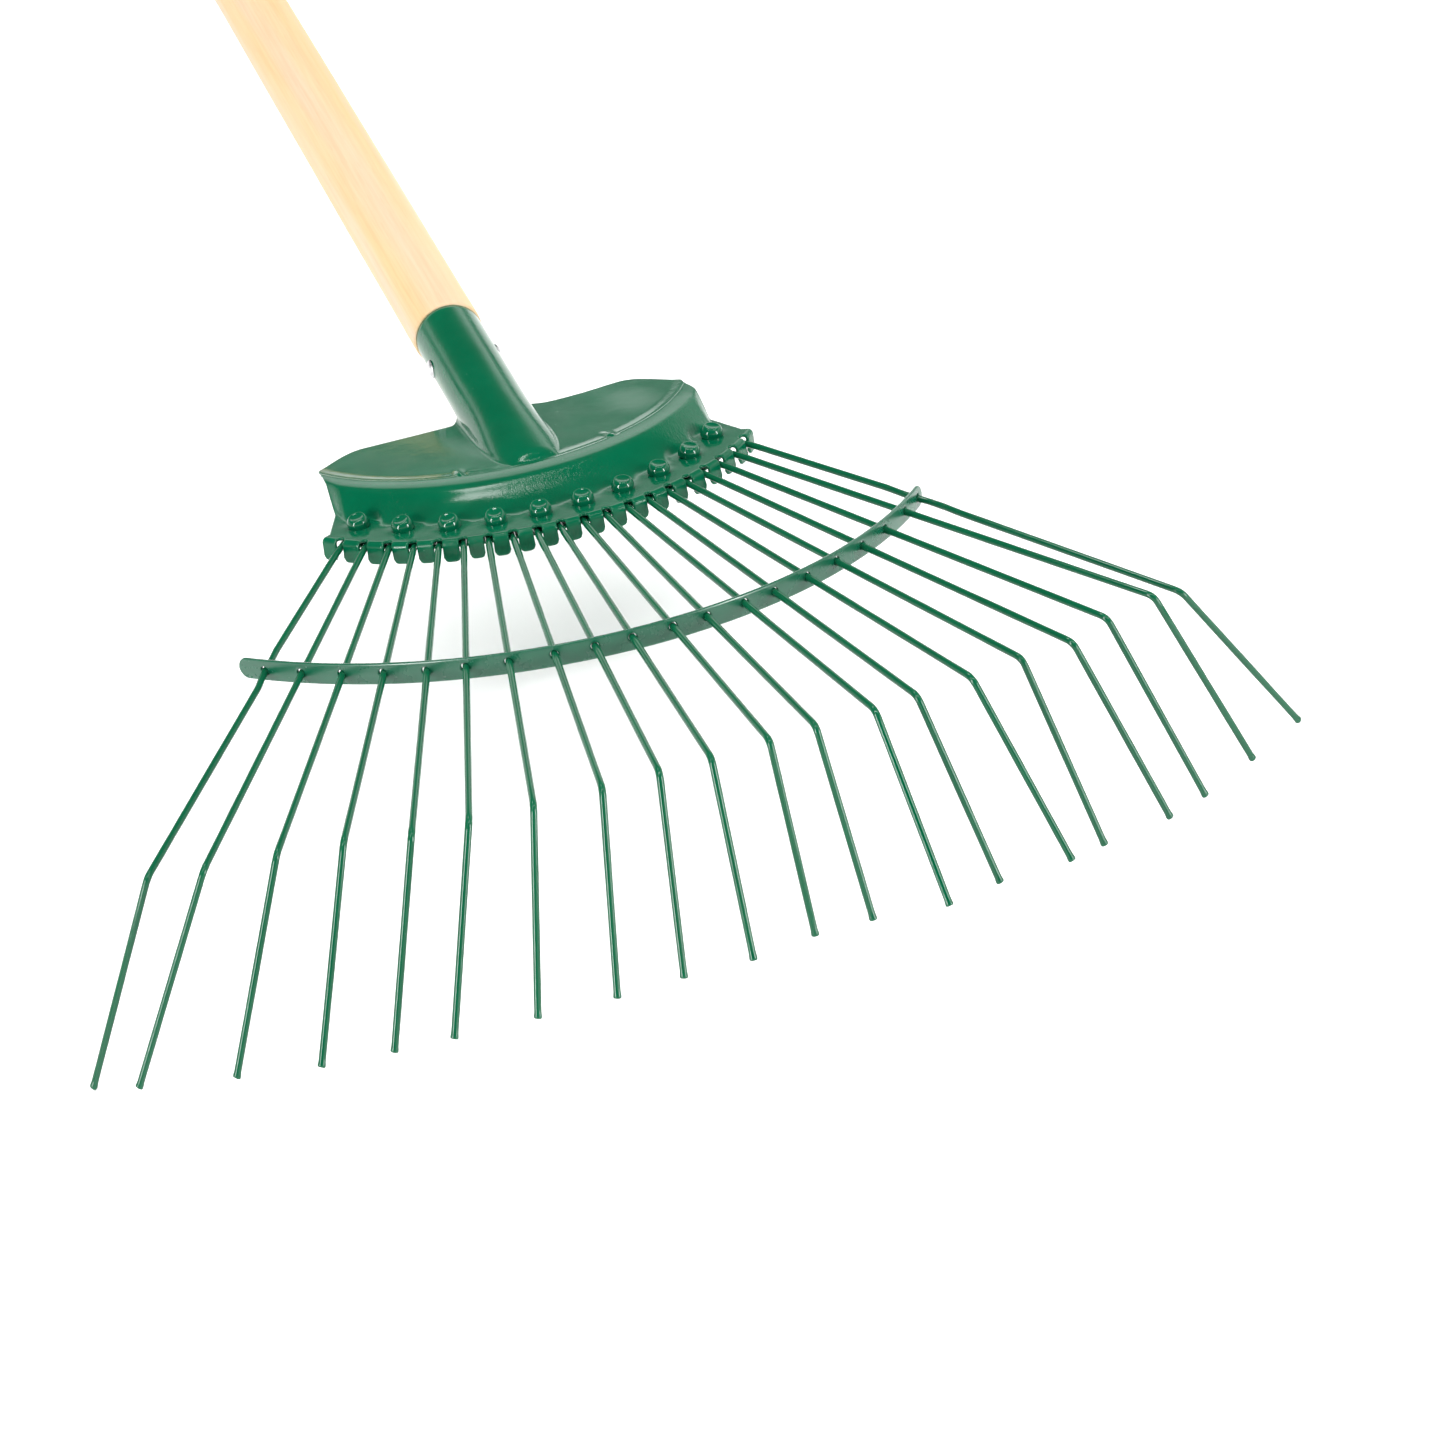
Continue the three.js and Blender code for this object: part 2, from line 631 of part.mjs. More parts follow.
function handle() {
  const r = HANDLE_D / 2;
  const tenonR = SOCKET_D / 2 - SHEET - GAP;
  const mouth = SOCKET_MOUTH + GAP;
  const outline = [
    [0, -HANDLE_TENON],
    [tenonR - TENON_CHAMFER.inset, -HANDLE_TENON],
    [tenonR, -HANDLE_TENON + TENON_CHAMFER.length],
    [tenonR, mouth],
    [SOCKET_D / 2, mouth],
    [r, mouth + MOUTH_CHAMFER],
    ...BUTT_ROUNDING.map(([inset, fromEnd]) => [r - inset, HANDLE_LENGTH - fromEnd]),
    [BUTT_FLAT_D / 2, HANDLE_LENGTH],
    [0, HANDLE_LENGTH],
  ];
  const geometry = turned(outline, HANDLE_SIDES);
  geometry.rotateX(rad(SOCKET_SLOPE));
  const origin = socketPoint(0);
  geometry.translate(origin.x, origin.y, origin.z);
  return toGeometry(toManifold(geometry).subtract(crossPinHole()));
}

function crossPin() {
  const seat = SOCKET_D / 2 + GAP;
  const r = CROSS_PIN_D / 2;
  const head = CROSS_HEAD_D / 2;
  const dome = DOME.map(([across, up]) => [head * across, seat + CROSS_HEAD_H * up]);
  const mirrored = dome.map(([across, up]) => [across, -up]).reverse();
  const geometry = turned([...mirrored, [r, -seat], [r, seat], ...dome], CROSS_PIN_SIDES);
  geometry.rotateZ(Math.PI / 2);
  const at = socketPoint(CROSS_PIN_S);
  geometry.translate(at.x, at.y, at.z);
  return geometry;
}

// ---- assembly, tilted to rest on the outer tips and the handle butt ----

const rake = new THREE.Group();
rake.name = "spring_tine_lawn_rake";
const parts = [];

function place(name, geometry, look) {
  const plain = geometry.clone();
  plain.deleteAttribute("uv");
  plain.deleteAttribute("normal");
  parts.push({ name, geometry: mergeVertices(plain, MERGE_WITHIN), look });
}

place("handle", handle(), WOOD);
place("head_plate", headPlate(), GREEN);
place("clamp_plate", clampPlate(), GREEN);
place("spacer_bar", spacerBar(), GREEN);
place("cross_pin", crossPin(), STEEL);
for (let pair = 0; pair < TINES / 2; pair += 1) {
  const label = String(pair + 1).padStart(2, "0");
  place(`tine_pair_${label}`, hairpin(pair), GREEN);
  place(`rivet_${label}`, rivet(rivetCentres[pair]), GREEN);
}

const outerTip = tines[0].tip.clone().add(tines[TINES - 1].tip).multiplyScalar(0.5);
const butt = socketPoint(HANDLE_LENGTH - BUTT_ROUNDING[0][1]);
butt.addScaledVector(vec(0, -alongSocket.z, alongSocket.y), -HANDLE_D / 2);
const restTilt = -Math.atan2(butt.z - outerTip.z, butt.y - outerTip.y);

const box = new THREE.Box3();
for (const part of parts) {
  part.geometry.rotateX(restTilt);
  part.geometry.computeBoundingBox();
  box.union(part.geometry.boundingBox);
}
const middle = box.getCenter(vec(0, 0, 0));
for (const part of parts) {
  part.geometry.translate(-middle.x, -middle.y, -box.min.z);
  part.geometry.computeVertexNormals();
  const mesh = new THREE.Mesh(part.geometry, new THREE.MeshStandardMaterial(part.look));
  mesh.name = part.name;
  rake.add(mesh);
}

export default rake;
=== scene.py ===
import math

import bpy
import numpy as np
from mathutils import Euler, Matrix, Vector


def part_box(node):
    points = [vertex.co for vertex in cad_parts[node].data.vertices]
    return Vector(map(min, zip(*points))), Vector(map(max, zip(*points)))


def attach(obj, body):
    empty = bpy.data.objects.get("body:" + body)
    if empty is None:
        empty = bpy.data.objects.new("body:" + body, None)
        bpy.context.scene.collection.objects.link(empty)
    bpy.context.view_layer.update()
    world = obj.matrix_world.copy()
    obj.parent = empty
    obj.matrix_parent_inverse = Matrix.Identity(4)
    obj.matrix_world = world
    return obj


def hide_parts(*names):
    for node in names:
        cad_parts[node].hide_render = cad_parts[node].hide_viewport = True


# The looks of a spring-tine lawn rake: a painted pressed-steel head with riveted wires,
# a spacer bar and a wooden handle. Shapes are laid out flat in millimetres, as the part
# is, and then tilted into the row frame in metres. Named angles are in degrees, apart
# from SOCKET_SLOPE, which is in radians.

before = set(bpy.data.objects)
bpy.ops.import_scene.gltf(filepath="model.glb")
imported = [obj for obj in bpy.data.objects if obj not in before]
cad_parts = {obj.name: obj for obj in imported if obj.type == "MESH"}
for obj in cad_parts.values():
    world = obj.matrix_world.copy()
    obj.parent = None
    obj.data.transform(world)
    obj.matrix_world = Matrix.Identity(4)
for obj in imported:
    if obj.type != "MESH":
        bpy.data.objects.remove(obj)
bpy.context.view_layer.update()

rng = np.random.default_rng(7)

# ---- sizes that the part has too ----

TINES = 20
WIRE_R = 1.25
GAP = 0.3
SHEET = 1.2
FLANGE_TOP = WIRE_R + GAP + SHEET
PLATEAU_TOP = 11.0

ROOT_R = 102.9
ROOT_HALF_ANGLE = 45.4
ROOT_END_SPREAD = 3.7
SHANK_HALF_ANGLE = 29.6
SHANK_END_SPREAD = 7
SHANK_DROP = 5.7
SHANK_END_DROP = 6.4
SHANK_LENGTH = 187
SHANK_END_CUT = 1
LEG_LENGTH = 67
LEG_END_EXTRA = 12
LEG_SLOPE = 72.6
LEG_END_EASE = 9.9
LEG_TURN_OUT = 64
BEND_BACK = 3.5
LEFT_KINK = [(-11, 1.6), (-5, 1.2), (5, 0.8), (11, 0)]
RIGHT_KINK = [(-13, 2.2), (-5, 1.8), (5, 2.6), (11, 2.6), (19, 2)]

# The wires were bent and hung one at a time, so each sits a little off the
# regular fan: sideways swing, extra length, sideways lean and forward kick of the leg.
SWING = [1, -0.3, 0, 0, 0.3, -0.4, -0.2, 0.6, 0.5, 0, 0.4, -0.3, 0.3, -0.6, 0, 0.5, 0.7, 1.2, 2.4, -1]
REACH = [2, 2, -1, -1, 2, 2, 2, 2, 1, 1, 0, -1, 0, -1, -1, -2, 0, -5, -4, 0]
LEAN = [2, -2, 1, 2, -1, -4, -2, -2, -2, 0, 0, 0, -2, 1, 1, -4, -1, -5, -2, 7]
KICK = [-1, 5, 6, 8, 0, 4, -2, -3, -4, -3, -8, -5, 7, -1, 5, -2, -2, 1, -2, 0]

BAR_REACH = 93.7
BAR_SAG = 74.2
BAR_END_LIFT = 2.5
BAR_DROP = 0.9
BAR_HEIGHT = 7.8
BAR_THICK = 1.3
BAR_LEFT_END = -1.045
BAR_RIGHT_END = 1.01
BAR_SPAN_RATIO = 1.3
CROSSING_PASSES = 6

COMB_R = 98.6
COMB_CENTRE_Y = 95.0
COMB_HALF_ANGLE = 57.4
TOOTH_END_Z = -5.4
BEND_R = 2.0
FOOT_R = 81.5
FOOT_CENTRE_Y = 101.0
FOOT_HALF_ANGLE = 63.0
CREASE_R = 79.8
CREASE_CENTRE_Y = 120.8
CREASE_HALF_ANGLE = 63.6
PLATEAU_REAR_Y = 105.0
PLATEAU_CORNER_X = 47.0
CORNER_MARGIN = 0.4
CORNER_PULL = 0.9

RIVET_R = 84.0
RIVET_CENTRE_Y = 94.6
RIVET_HALF_ANGLE = 49.4
RIVET_END_SPREAD = 4.5
RIVET_SHANK_R = 2.2
LOOP_R = RIVET_SHANK_R + 0.4 + WIRE_R
CLAMP_WIDTH = 14.0
CLAMP_HALF_ANGLE = 58.0
CLAMP_TOP = -(WIRE_R + GAP)

SOCKET_R = 13.3
SOCKET_SLOPE = math.radians(13.7)
SOCKET_AXIS_Y = 150.0
SOCKET_AXIS_Z = 25.8
SOCKET_MOUTH = 10.5
HANDLE_R = 14.0
HANDLE_LENGTH = 1350.0
HANDLE_TENON = 44.0
BUTT_LENGTH = 12.0
CROSS_PIN_S = -11.0


def vec(x, y, z):
    return np.array([x, y, z], float)


def unit(v):
    return v / np.linalg.norm(v)


def rows_unit(v):
    return v / np.maximum(np.linalg.norm(v, axis=-1, keepdims=True), 1e-12)


def smoothstep(low, high, x):
    t = np.clip((x - low) / (high - low), 0, 1)
    return t * t * (3 - 2 * t)


# ---- the fan of wires ----

def fan_direction(azimuth, drop):
    a, d = math.radians(azimuth), math.radians(drop)
    return vec(math.sin(a) * math.cos(d), -math.cos(a) * math.cos(d), -math.sin(d))


def lay_tine(u, swing=0, reach=0, lean=0, kick=0):
    """A wire of the fan at u, from -1 at the left end to 1 at the right end."""
    root_angle = math.radians(u * (ROOT_HALF_ANGLE + ROOT_END_SPREAD * u * u))
    root = vec(ROOT_R * math.sin(root_angle), ROOT_R * (1 - math.cos(root_angle)), 0)
    azimuth = u * (SHANK_HALF_ANGLE + SHANK_END_SPREAD * u * u)
    drop = SHANK_DROP + SHANK_END_DROP * u * u
    regular = fan_direction(azimuth, drop)
    shank = fan_direction(azimuth + swing, drop)
    elbow = root + shank * (SHANK_LENGTH - SHANK_END_CUT * u * u + reach)
    leg = fan_direction(azimuth + LEG_TURN_OUT * u, LEG_SLOPE - LEG_END_EASE * u * u)
    side = unit(np.cross(regular, leg))
    leg = unit(leg + side * math.tan(math.radians(lean)) + regular * math.tan(math.radians(kick)))
    tip = elbow + leg * (LEG_LENGTH + LEG_END_EXTRA * u * u)
    return {"u": u, "root": root, "shank": shank, "elbow": elbow, "tip": tip}


def shank_at_y(t, y):
    return t["root"] + (t["elbow"] - t["root"]) * (y - t["root"][1]) / (t["elbow"][1] - t["root"][1])


def bar_point(u):
    """The spacer bar's middle line, which follows the regular fan."""
    y = -(BAR_REACH - BAR_SAG * u * u + BAR_END_LIFT * u ** 4)
    point = shank_at_y(lay_tine(u), y)
    point[2] -= BAR_DROP * (1 - u * u)
    return point


def bar_crossing(t):
    """Where a wire that hangs a little off the fan goes through the spacer bar."""
    u = t["u"]
    crossing = shank_at_y(t, bar_point(u)[1])
    for _ in range(CROSSING_PASSES):
        u += (crossing[0] - bar_point(u)[0]) / (BAR_SPAN_RATIO * BAR_REACH)
        crossing = shank_at_y(t, bar_point(u)[1])
    return crossing


tines = [lay_tine(2 * i / (TINES - 1) - 1, SWING[i], REACH[i], LEAN[i], KICK[i]) for i in range(TINES)]
for t in tines:
    t["bar"] = bar_crossing(t)


def rivet_centre(pair):
    side = 4 * pair / (TINES - 2) - 1
    a = math.radians(side * (RIVET_HALF_ANGLE + RIVET_END_SPREAD * side * side))
    return vec(RIVET_R * math.sin(a), RIVET_CENTRE_Y - RIVET_R * math.cos(a), 0)


rivets = [rivet_centre(pair) for pair in range(TINES // 2)]
along_socket = vec(0, math.cos(SOCKET_SLOPE), math.sin(SOCKET_SLOPE))
above_socket = vec(0, -math.sin(SOCKET_SLOPE), math.cos(SOCKET_SLOPE))


def socket_point(s):
    """A point of the socket's and the handle's axis, s along it from its own origin."""
    return vec(0, SOCKET_AXIS_Y, SOCKET_AXIS_Z) + along_socket * s


# ---- from the flat layout to the row frame ----

outer_tip = (tines[0]["tip"] + tines[-1]["tip"]) / 2
butt = socket_point(HANDLE_LENGTH - BUTT_LENGTH) - above_socket * HANDLE_R
tilt = -math.atan2(butt[2] - outer_tip[2], butt[1] - outer_tip[1])
ground_up = vec(0, math.sin(-tilt), math.cos(-tilt))
turn = np.array(Matrix.Rotation(tilt, 3, "X"))
pin_low, pin_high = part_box("cross_pin")
shift = np.array((pin_low + pin_high) / 2) * 1000 - turn @ socket_point(CROSS_PIN_S)


def to_frame(points):
    return (np.asarray(points, float) @ turn.T + shift) / 1000


# ---- mesh helpers ----

RIM = 0.3
RIM_STEPS = 4


def piece(name, shape, material, node_name, place=None):
    """A new piece: in the flat layout, or about its own axis where a place is given."""
    points, faces = shape
    metres = to_frame(points) if place is None else points / 1000
    mesh = bpy.data.meshes.new(name)
    mesh.from_pydata(metres.tolist(), [], faces)
    mesh.update()
    mesh.shade_smooth()
    mesh.materials.append(material)
    obj = bpy.data.objects.new(name, mesh)
    bpy.context.scene.collection.objects.link(obj)
    if place is not None:
        obj.matrix_world = place
    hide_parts(node_name)
    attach(obj, "root")


def vertex_normals(points, faces):
    quads = np.array(faces)
    a, b, c, d = (points[quads[:, k]] for k in range(4))
    across = np.cross(c - a, d - b)
    normals = np.zeros_like(points)
    for k in range(4):
        np.add.at(normals, quads[:, k], across)
    return rows_unit(normals)


def outward(points, normals, rim):
    """For each point, the way out of the sheet across its rim; zero away from the rim."""
    out = np.zeros_like(points)
    for a, b in rim:
        side = unit(np.cross(points[b] - points[a], normals[a] + normals[b]))
        out[a] += side
        out[b] += side
    return rows_unit(out)


def thicken(points, faces, thickness, bulge):
    """An open sheet of quads becomes a closed one of that thickness, with rounded rims."""
    normals = vertex_normals(points, faces)
    count = len(points)
    solid = [tuple(f) for f in faces] + [tuple(count + i for i in reversed(f)) for f in faces]
    directed = {(f[k], f[(k + 1) % 4]) for f in faces for k in range(4)}
    rim = sorted((a, b) for a, b in directed if (b, a) not in directed)
    out = outward(points, normals, rim)
    rounding = {}
    extra = []
    for a in sorted({a for edge in rim for a in edge}):
        middle = points[a] - normals[a] * thickness / 2
        rounding[a] = [a]
        for j in range(1, RIM_STEPS):
            theta = math.pi * j / RIM_STEPS
            across = normals[a] * thickness / 2 * math.cos(theta)
            extra.append(middle + across + out[a] * bulge * math.sin(theta))
            rounding[a].append(2 * count + len(extra) - 1)
        rounding[a].append(count + a)
    for a, b in rim:
        before, after = rounding[a], rounding[b]
        for j in range(RIM_STEPS):
            solid.append((after[j], before[j], before[j + 1], after[j + 1]))
    return np.vstack([points, points - normals * thickness, extra]), solid


def strip(first, second):
    """Quads between two lines of the same number of points."""
    return [(first[k], first[k + 1], second[k + 1], second[k]) for k in range(len(first) - 1)]


def grid_faces(across, along):
    """Quads of a grid of points with that many steps across and along."""
    corners = [i * (along + 1) + j for i in range(across) for j in range(along)]
    return [(k, k + 1, k + along + 2, k + along + 1) for k in corners]


def drop_unused(points, faces):
    used = sorted({v for f in faces for v in f})
    place = {v: k for k, v in enumerate(used)}
    return points[used], [tuple(place[v] for v in f) for f in faces]


def closed_tube(points, sides, first_centre, last_centre):
    """Rings of points, one after the other, become a closed solid with a fan at each end."""
    last_ring = len(points) - sides
    faces = []
    for start in range(0, last_ring, sides):
        for k in range(sides):
            n = (k + 1) % sides
            faces.append((start + k, start + n, start + sides + n, start + sides + k))
    centre = len(points)
    faces += [((k + 1) % sides, k, centre) for k in range(sides)]
    faces += [(last_ring + k, last_ring + (k + 1) % sides, centre + 1) for k in range(sides)]
    return np.vstack([points, [first_centre, last_centre]]), faces


LOBE_TURN = 9


def lathe(profile, sides, wobble=0.0, seed=0):
    """A closed turned solid about +Z. The profile runs from the axis, out and back to it."""
    oval, oval_turn, clover, clover_turn = np.random.default_rng(seed).uniform(-1, 1, 4) * wobble
    points = []
    for radius, z in profile[1:-1]:
        for k in range(sides):
            a = 2 * math.pi * k / sides
            lobes = oval * math.cos(2 * a + oval_turn * LOBE_TURN)
            lobes += clover * math.cos(3 * a + clover_turn * LOBE_TURN)
            r = radius * (1 + lobes)
            points.append((r * math.cos(a), r * math.sin(a), z))
    return closed_tube(np.array(points), sides, (0, 0, profile[0][1]), (0, 0, profile[-1][1]))


CORNER_STEPS = 5
CORNER_SHARE = 0.46


def rounded_route(points, cuts):
    """The same line with each inner corner rounded off over its cut length."""
    route = [points[0]]
    for before, here, after, cut in zip(points, points[1:], points[2:], cuts[1:]):
        room = min(np.linalg.norm(here - before), np.linalg.norm(after - here))
        cut = min(cut, CORNER_SHARE * room)
        a = here + unit(before - here) * cut
        b = here + unit(after - here) * cut
        for k in range(CORNER_STEPS + 1):
            s = k / CORNER_STEPS
            route.append(a * (1 - s) ** 2 + here * 2 * s * (1 - s) + b * s * s)
    route.append(points[-1])
    return route


# ---- wires ----

WIRE_SIDES = 14
WIRE_UNEVEN = 0.016
WIRE_UNEVEN_LIMIT = 1.6
LONGEST_RUN = 9.0
LOOP_STEPS = 28
ROOT_CUT = 2.2
LOOP_CUT = 0.3
KINK_CUT = 1.7
ELBOW_CUT = 2.8
# A wire's ends, where paint gathers and the cut is rounded over: how far back
# from the end, and how thick the wire is there. The cut itself slants.
END_BACK = [3.2, 2.2, 1.4, 0.8, 0.4, 0.12, 0.0]
END_SWELL = [1.0, 1.02, 1.09, 1.14, 1.12, 0.98, 0.62]
END_SLANTS = (12, 34)


def kink_of(t):
    """The joggle that keeps the bar in place: only the two outermost wires have one."""
    if abs(t["u"]) < 1:
        return []
    return LEFT_KINK if t["u"] < 0 else RIGHT_KINK


def half_hairpin(index, centre, turn_side):
    """Half of a hairpin: where it leaves its loop, its points out to the tip, and their cuts."""
    t = tines[index]
    heading = unit(vec(t["shank"][0], t["shank"][1], 0))
    inner = t["root"] - heading * BEND_BACK
    to_inner = inner - centre
    spread = math.acos(LOOP_R / np.linalg.norm(to_inner))
    tangent = math.atan2(to_inner[1], to_inner[0]) + turn_side * spread
    points = [inner, t["root"] + t["shank"] * BEND_BACK]
    cuts = [ROOT_CUT, ROOT_CUT]
    for along, aside in kink_of(t):
        point = t["bar"] + t["shank"] * along
        point[0] += t["u"] * aside
        points.append(point)
        cuts.append(KINK_CUT)
    return tangent, points + [t["elbow"], t["tip"]], cuts + [ELBOW_CUT, 0]


def split_long(route):
    """Extra points along straight runs, so that the paint's unevenness can follow them."""
    fine = [route[0]]
    for a, b in zip(route, route[1:]):
        pieces = max(1, int(np.linalg.norm(b - a) // LONGEST_RUN))
        fine += [a + (b - a) * k / pieces for k in range(1, pieces + 1)]
    return np.array(fine)


def wire_line(route, local_rng):
    """The wire's middle line, and its painted radius at each point."""
    ends = []
    for end, inside in ((0, 1), (-1, -2)):
        away = unit(route[end] - route[inside])
        ends.append(np.array([route[end] - away * back for back in END_BACK]))
    body = route[1:-1]
    uneven = local_rng.standard_normal(len(body)).clip(-WIRE_UNEVEN_LIMIT, WIRE_UNEVEN_LIMIT)
    shares = np.concatenate([END_SWELL[::-1], 1 + WIRE_UNEVEN * uneven, END_SWELL])
    return np.vstack([ends[0][::-1], body, ends[1]]), shares * WIRE_R


def wire_mesh(route, seed):
    local_rng = np.random.default_rng(seed)
    line, radii = wire_line(split_long(route), local_rng)
    slants = local_rng.uniform(*END_SLANTS, 2)
    steps = np.diff(line, axis=0)
    heading = rows_unit(np.vstack([steps[:1], rows_unit(steps[1:]) + rows_unit(steps[:-1]), steps[-1:]]))
    normal = unit(np.cross(heading[0], vec(1, 0.2, 0.1)))
    points = []
    last = len(line) - 1
    for i, radius in enumerate(radii):
        normal = unit(normal - heading[i] * normal.dot(heading[i]))
        other = np.cross(heading[i], normal)
        # the end is sheared off on a slant to the ground rather than square
        at_start = i <= last / 2
        away = -heading[i] if at_start else heading[i]
        share = max(0, 1 - min(i, last - i) / (len(END_BACK) - 1))
        shear = math.tan(math.radians(slants[0 if at_start else 1])) * share ** 2
        for k in range(WIRE_SIDES):
            a = 2 * math.pi * k / WIRE_SIDES
            ray = normal * math.cos(a) + other * math.sin(a)
            points.append(line[i] + ray * radius - away * ray.dot(ground_up) * radius * shear)
    points = np.array(points)
    return closed_tube(points, WIRE_SIDES, points[:WIRE_SIDES].mean(0), points[-WIRE_SIDES:].mean(0))


def hairpin(pair):
    """One spring wire: up one shank, round the rivet and down the next."""
    centre = rivets[pair]
    left, left_points, left_cuts = half_hairpin(2 * pair, centre, -1)
    right, right_points, right_cuts = half_hairpin(2 * pair + 1, centre, 1)
    turned = math.fmod(right - left - 4 * math.pi, 2 * math.pi)
    angles = [left + turned * i / LOOP_STEPS for i in range(LOOP_STEPS + 1)]
    loop = [centre + vec(LOOP_R * math.cos(a), LOOP_R * math.sin(a), 0) for a in angles]
    points = left_points[::-1] + loop + right_points
    cuts = left_cuts[::-1] + [LOOP_CUT] * len(loop) + right_cuts
    return wire_mesh(rounded_route(points, cuts), 100 + pair)


# ---- head plate: one sheet from the socket over plateau, slope and flange to the comb ----

NOTCH_HALF = 2.0
NOTCH_SHARES = [0, 0.07, 0.2, 0.35, 0.5, 0.65, 0.8, 0.93]
TOOTH_SHARES = [0, 0.1, 0.2, 0.32, 0.44, 0.56, 0.68, 0.8, 0.9]
TOOTH_CORNER_R = 1.6
ARCH_CENTRE = 0.8
ARCH_ROWS = 8
TOOTH_ROWS = 14
TOOTH_LEANS = (-0.06, 0.16)
TOOTH_LEAN_LENGTH = 4
LAST_FLANGE = 2.4
FLANGE_ROWS = 11
SLOPE_ROWS = 26
PLATEAU_SHARES = [0, 0.008, 0.02, 0.04, *np.linspace(0.07, 0.86, 27), 0.895, 0.925, 0.95, 0.967, 0.98, 0.991]
CREASE_END_X = CREASE_R * math.sin(math.radians(CREASE_HALF_ANGLE))
TOE_FORWARD = 7.0
TOE_END_LOSS = 0.85
SLOPE_BULGE = 1.5
NOTCH_PASSES = 20


def arc_points(centre_y, radius, angles):
    return np.stack([radius * np.sin(angles), centre_y - radius * np.cos(angles)], 1)


def notch_position(t):
    """Where a wire goes through the comb wall, as a length along the comb."""
    centre = vec(0, COMB_CENTRE_Y, 0)
    s = 0.0
    for _ in range(NOTCH_PASSES):
        p = t["root"] + t["shank"] * s - centre
        s += (COMB_R - SHEET / 2) - math.hypot(p[0], p[1])
    return math.atan2(p[0], -p[1]) * COMB_R


def comb_columns():
    """The sheet's columns along the comb: each one's place, the tooth that it is in or has
    just passed, and the middle of its notch where it is inside one."""
    half = math.radians(COMB_HALF_ANGLE) * COMB_R - RIM
    edges = [-half] + [notch_position(t) + d for t in tines for d in (-NOTCH_HALF, NOTCH_HALF)] + [half]
    columns = []
    for k, (low, high) in enumerate(zip(edges, edges[1:])):
        is_notch = k % 2 == 1
        if not is_notch:
            tooth = (low, high)
        for share in NOTCH_SHARES if is_notch else TOOTH_SHARES:
            middle = (low + high) / 2 if is_notch and share > 0 else None
            columns.append({"s": low + (high - low) * share, "tooth": tooth, "notch": middle})
    columns.append({"s": half, "tooth": tooth, "notch": None})
    return columns


def sheet_lines(columns):
    """The lines that the sheet runs through, with one point for each column."""
    beta = np.array([c["s"] for c in columns]) / COMB_R
    share = beta / math.radians(COMB_HALF_ANGLE)
    crease = arc_points(CREASE_CENTRE_Y, CREASE_R, share * math.radians(CREASE_HALF_ANGLE))
    foot = arc_points(FOOT_CENTRE_Y, FOOT_R, share * math.radians(FOOT_HALF_ANGLE))
    out = np.stack([np.sin(beta), -np.cos(beta), 0 * beta], 1)
    edge = np.column_stack([arc_points(COMB_CENTRE_Y, COMB_R, beta), 0 * beta + FLANGE_TOP])
    bend_start = edge - out * BEND_R
    # the foot of the slope is brought forward, except at its two ends
    toe = (1 - TOE_END_LOSS * smoothstep(0.90, 1.0, np.abs(share))) * TOE_FORWARD
    foot = foot + rows_unit(bend_start[:, :2] - foot) * toe[:, None]
    # the plateau's rear corners are rounded
    beyond_corner = np.maximum(0, np.abs(crease[:, 0]) - PLATEAU_CORNER_X)
    over = beyond_corner / (CREASE_END_X + CORNER_MARGIN - PLATEAU_CORNER_X)
    corner = 1 - np.sqrt(np.maximum(0, 1 - over * over))
    rear_y = PLATEAU_REAR_Y - RIM - (PLATEAU_REAR_Y - crease[:, 1]) * corner * CORNER_PULL
    return {"share": share, "crease": crease, "foot": foot, "out": out, "bend_start": bend_start,
            "rear_y": rear_y}


# The ridge carries the socket's round top forward over the plateau, and sinks into it.
RIDGE_REAR_HALF = 24.0
RIDGE_FRONT_HALF = 15.0
RIDGE_WIDENING = 0.20
RIDGE_WIDENING_Y = (98, 48)
RIDGE_FADE = (0.2, 4.6)
RIDGE_FILLET = 0.7
RIDGE_REAR_FILLET = 0.8
RIDGE_FILLET_Y = (75, 108)
RIDGE_ARC_POINTS = 40
FILLET_STEPS = 13
# The plateau's rear edge climbs a little up the socket's root, further out on the right.
CUFF = 4.5
LEFT_CUFF_REACH = 3.38
RIGHT_CUFF_REACH = 10.4


def axis_height(y):
    return SOCKET_AXIS_Z + (y - SOCKET_AXIS_Y) * math.tan(SOCKET_SLOPE)


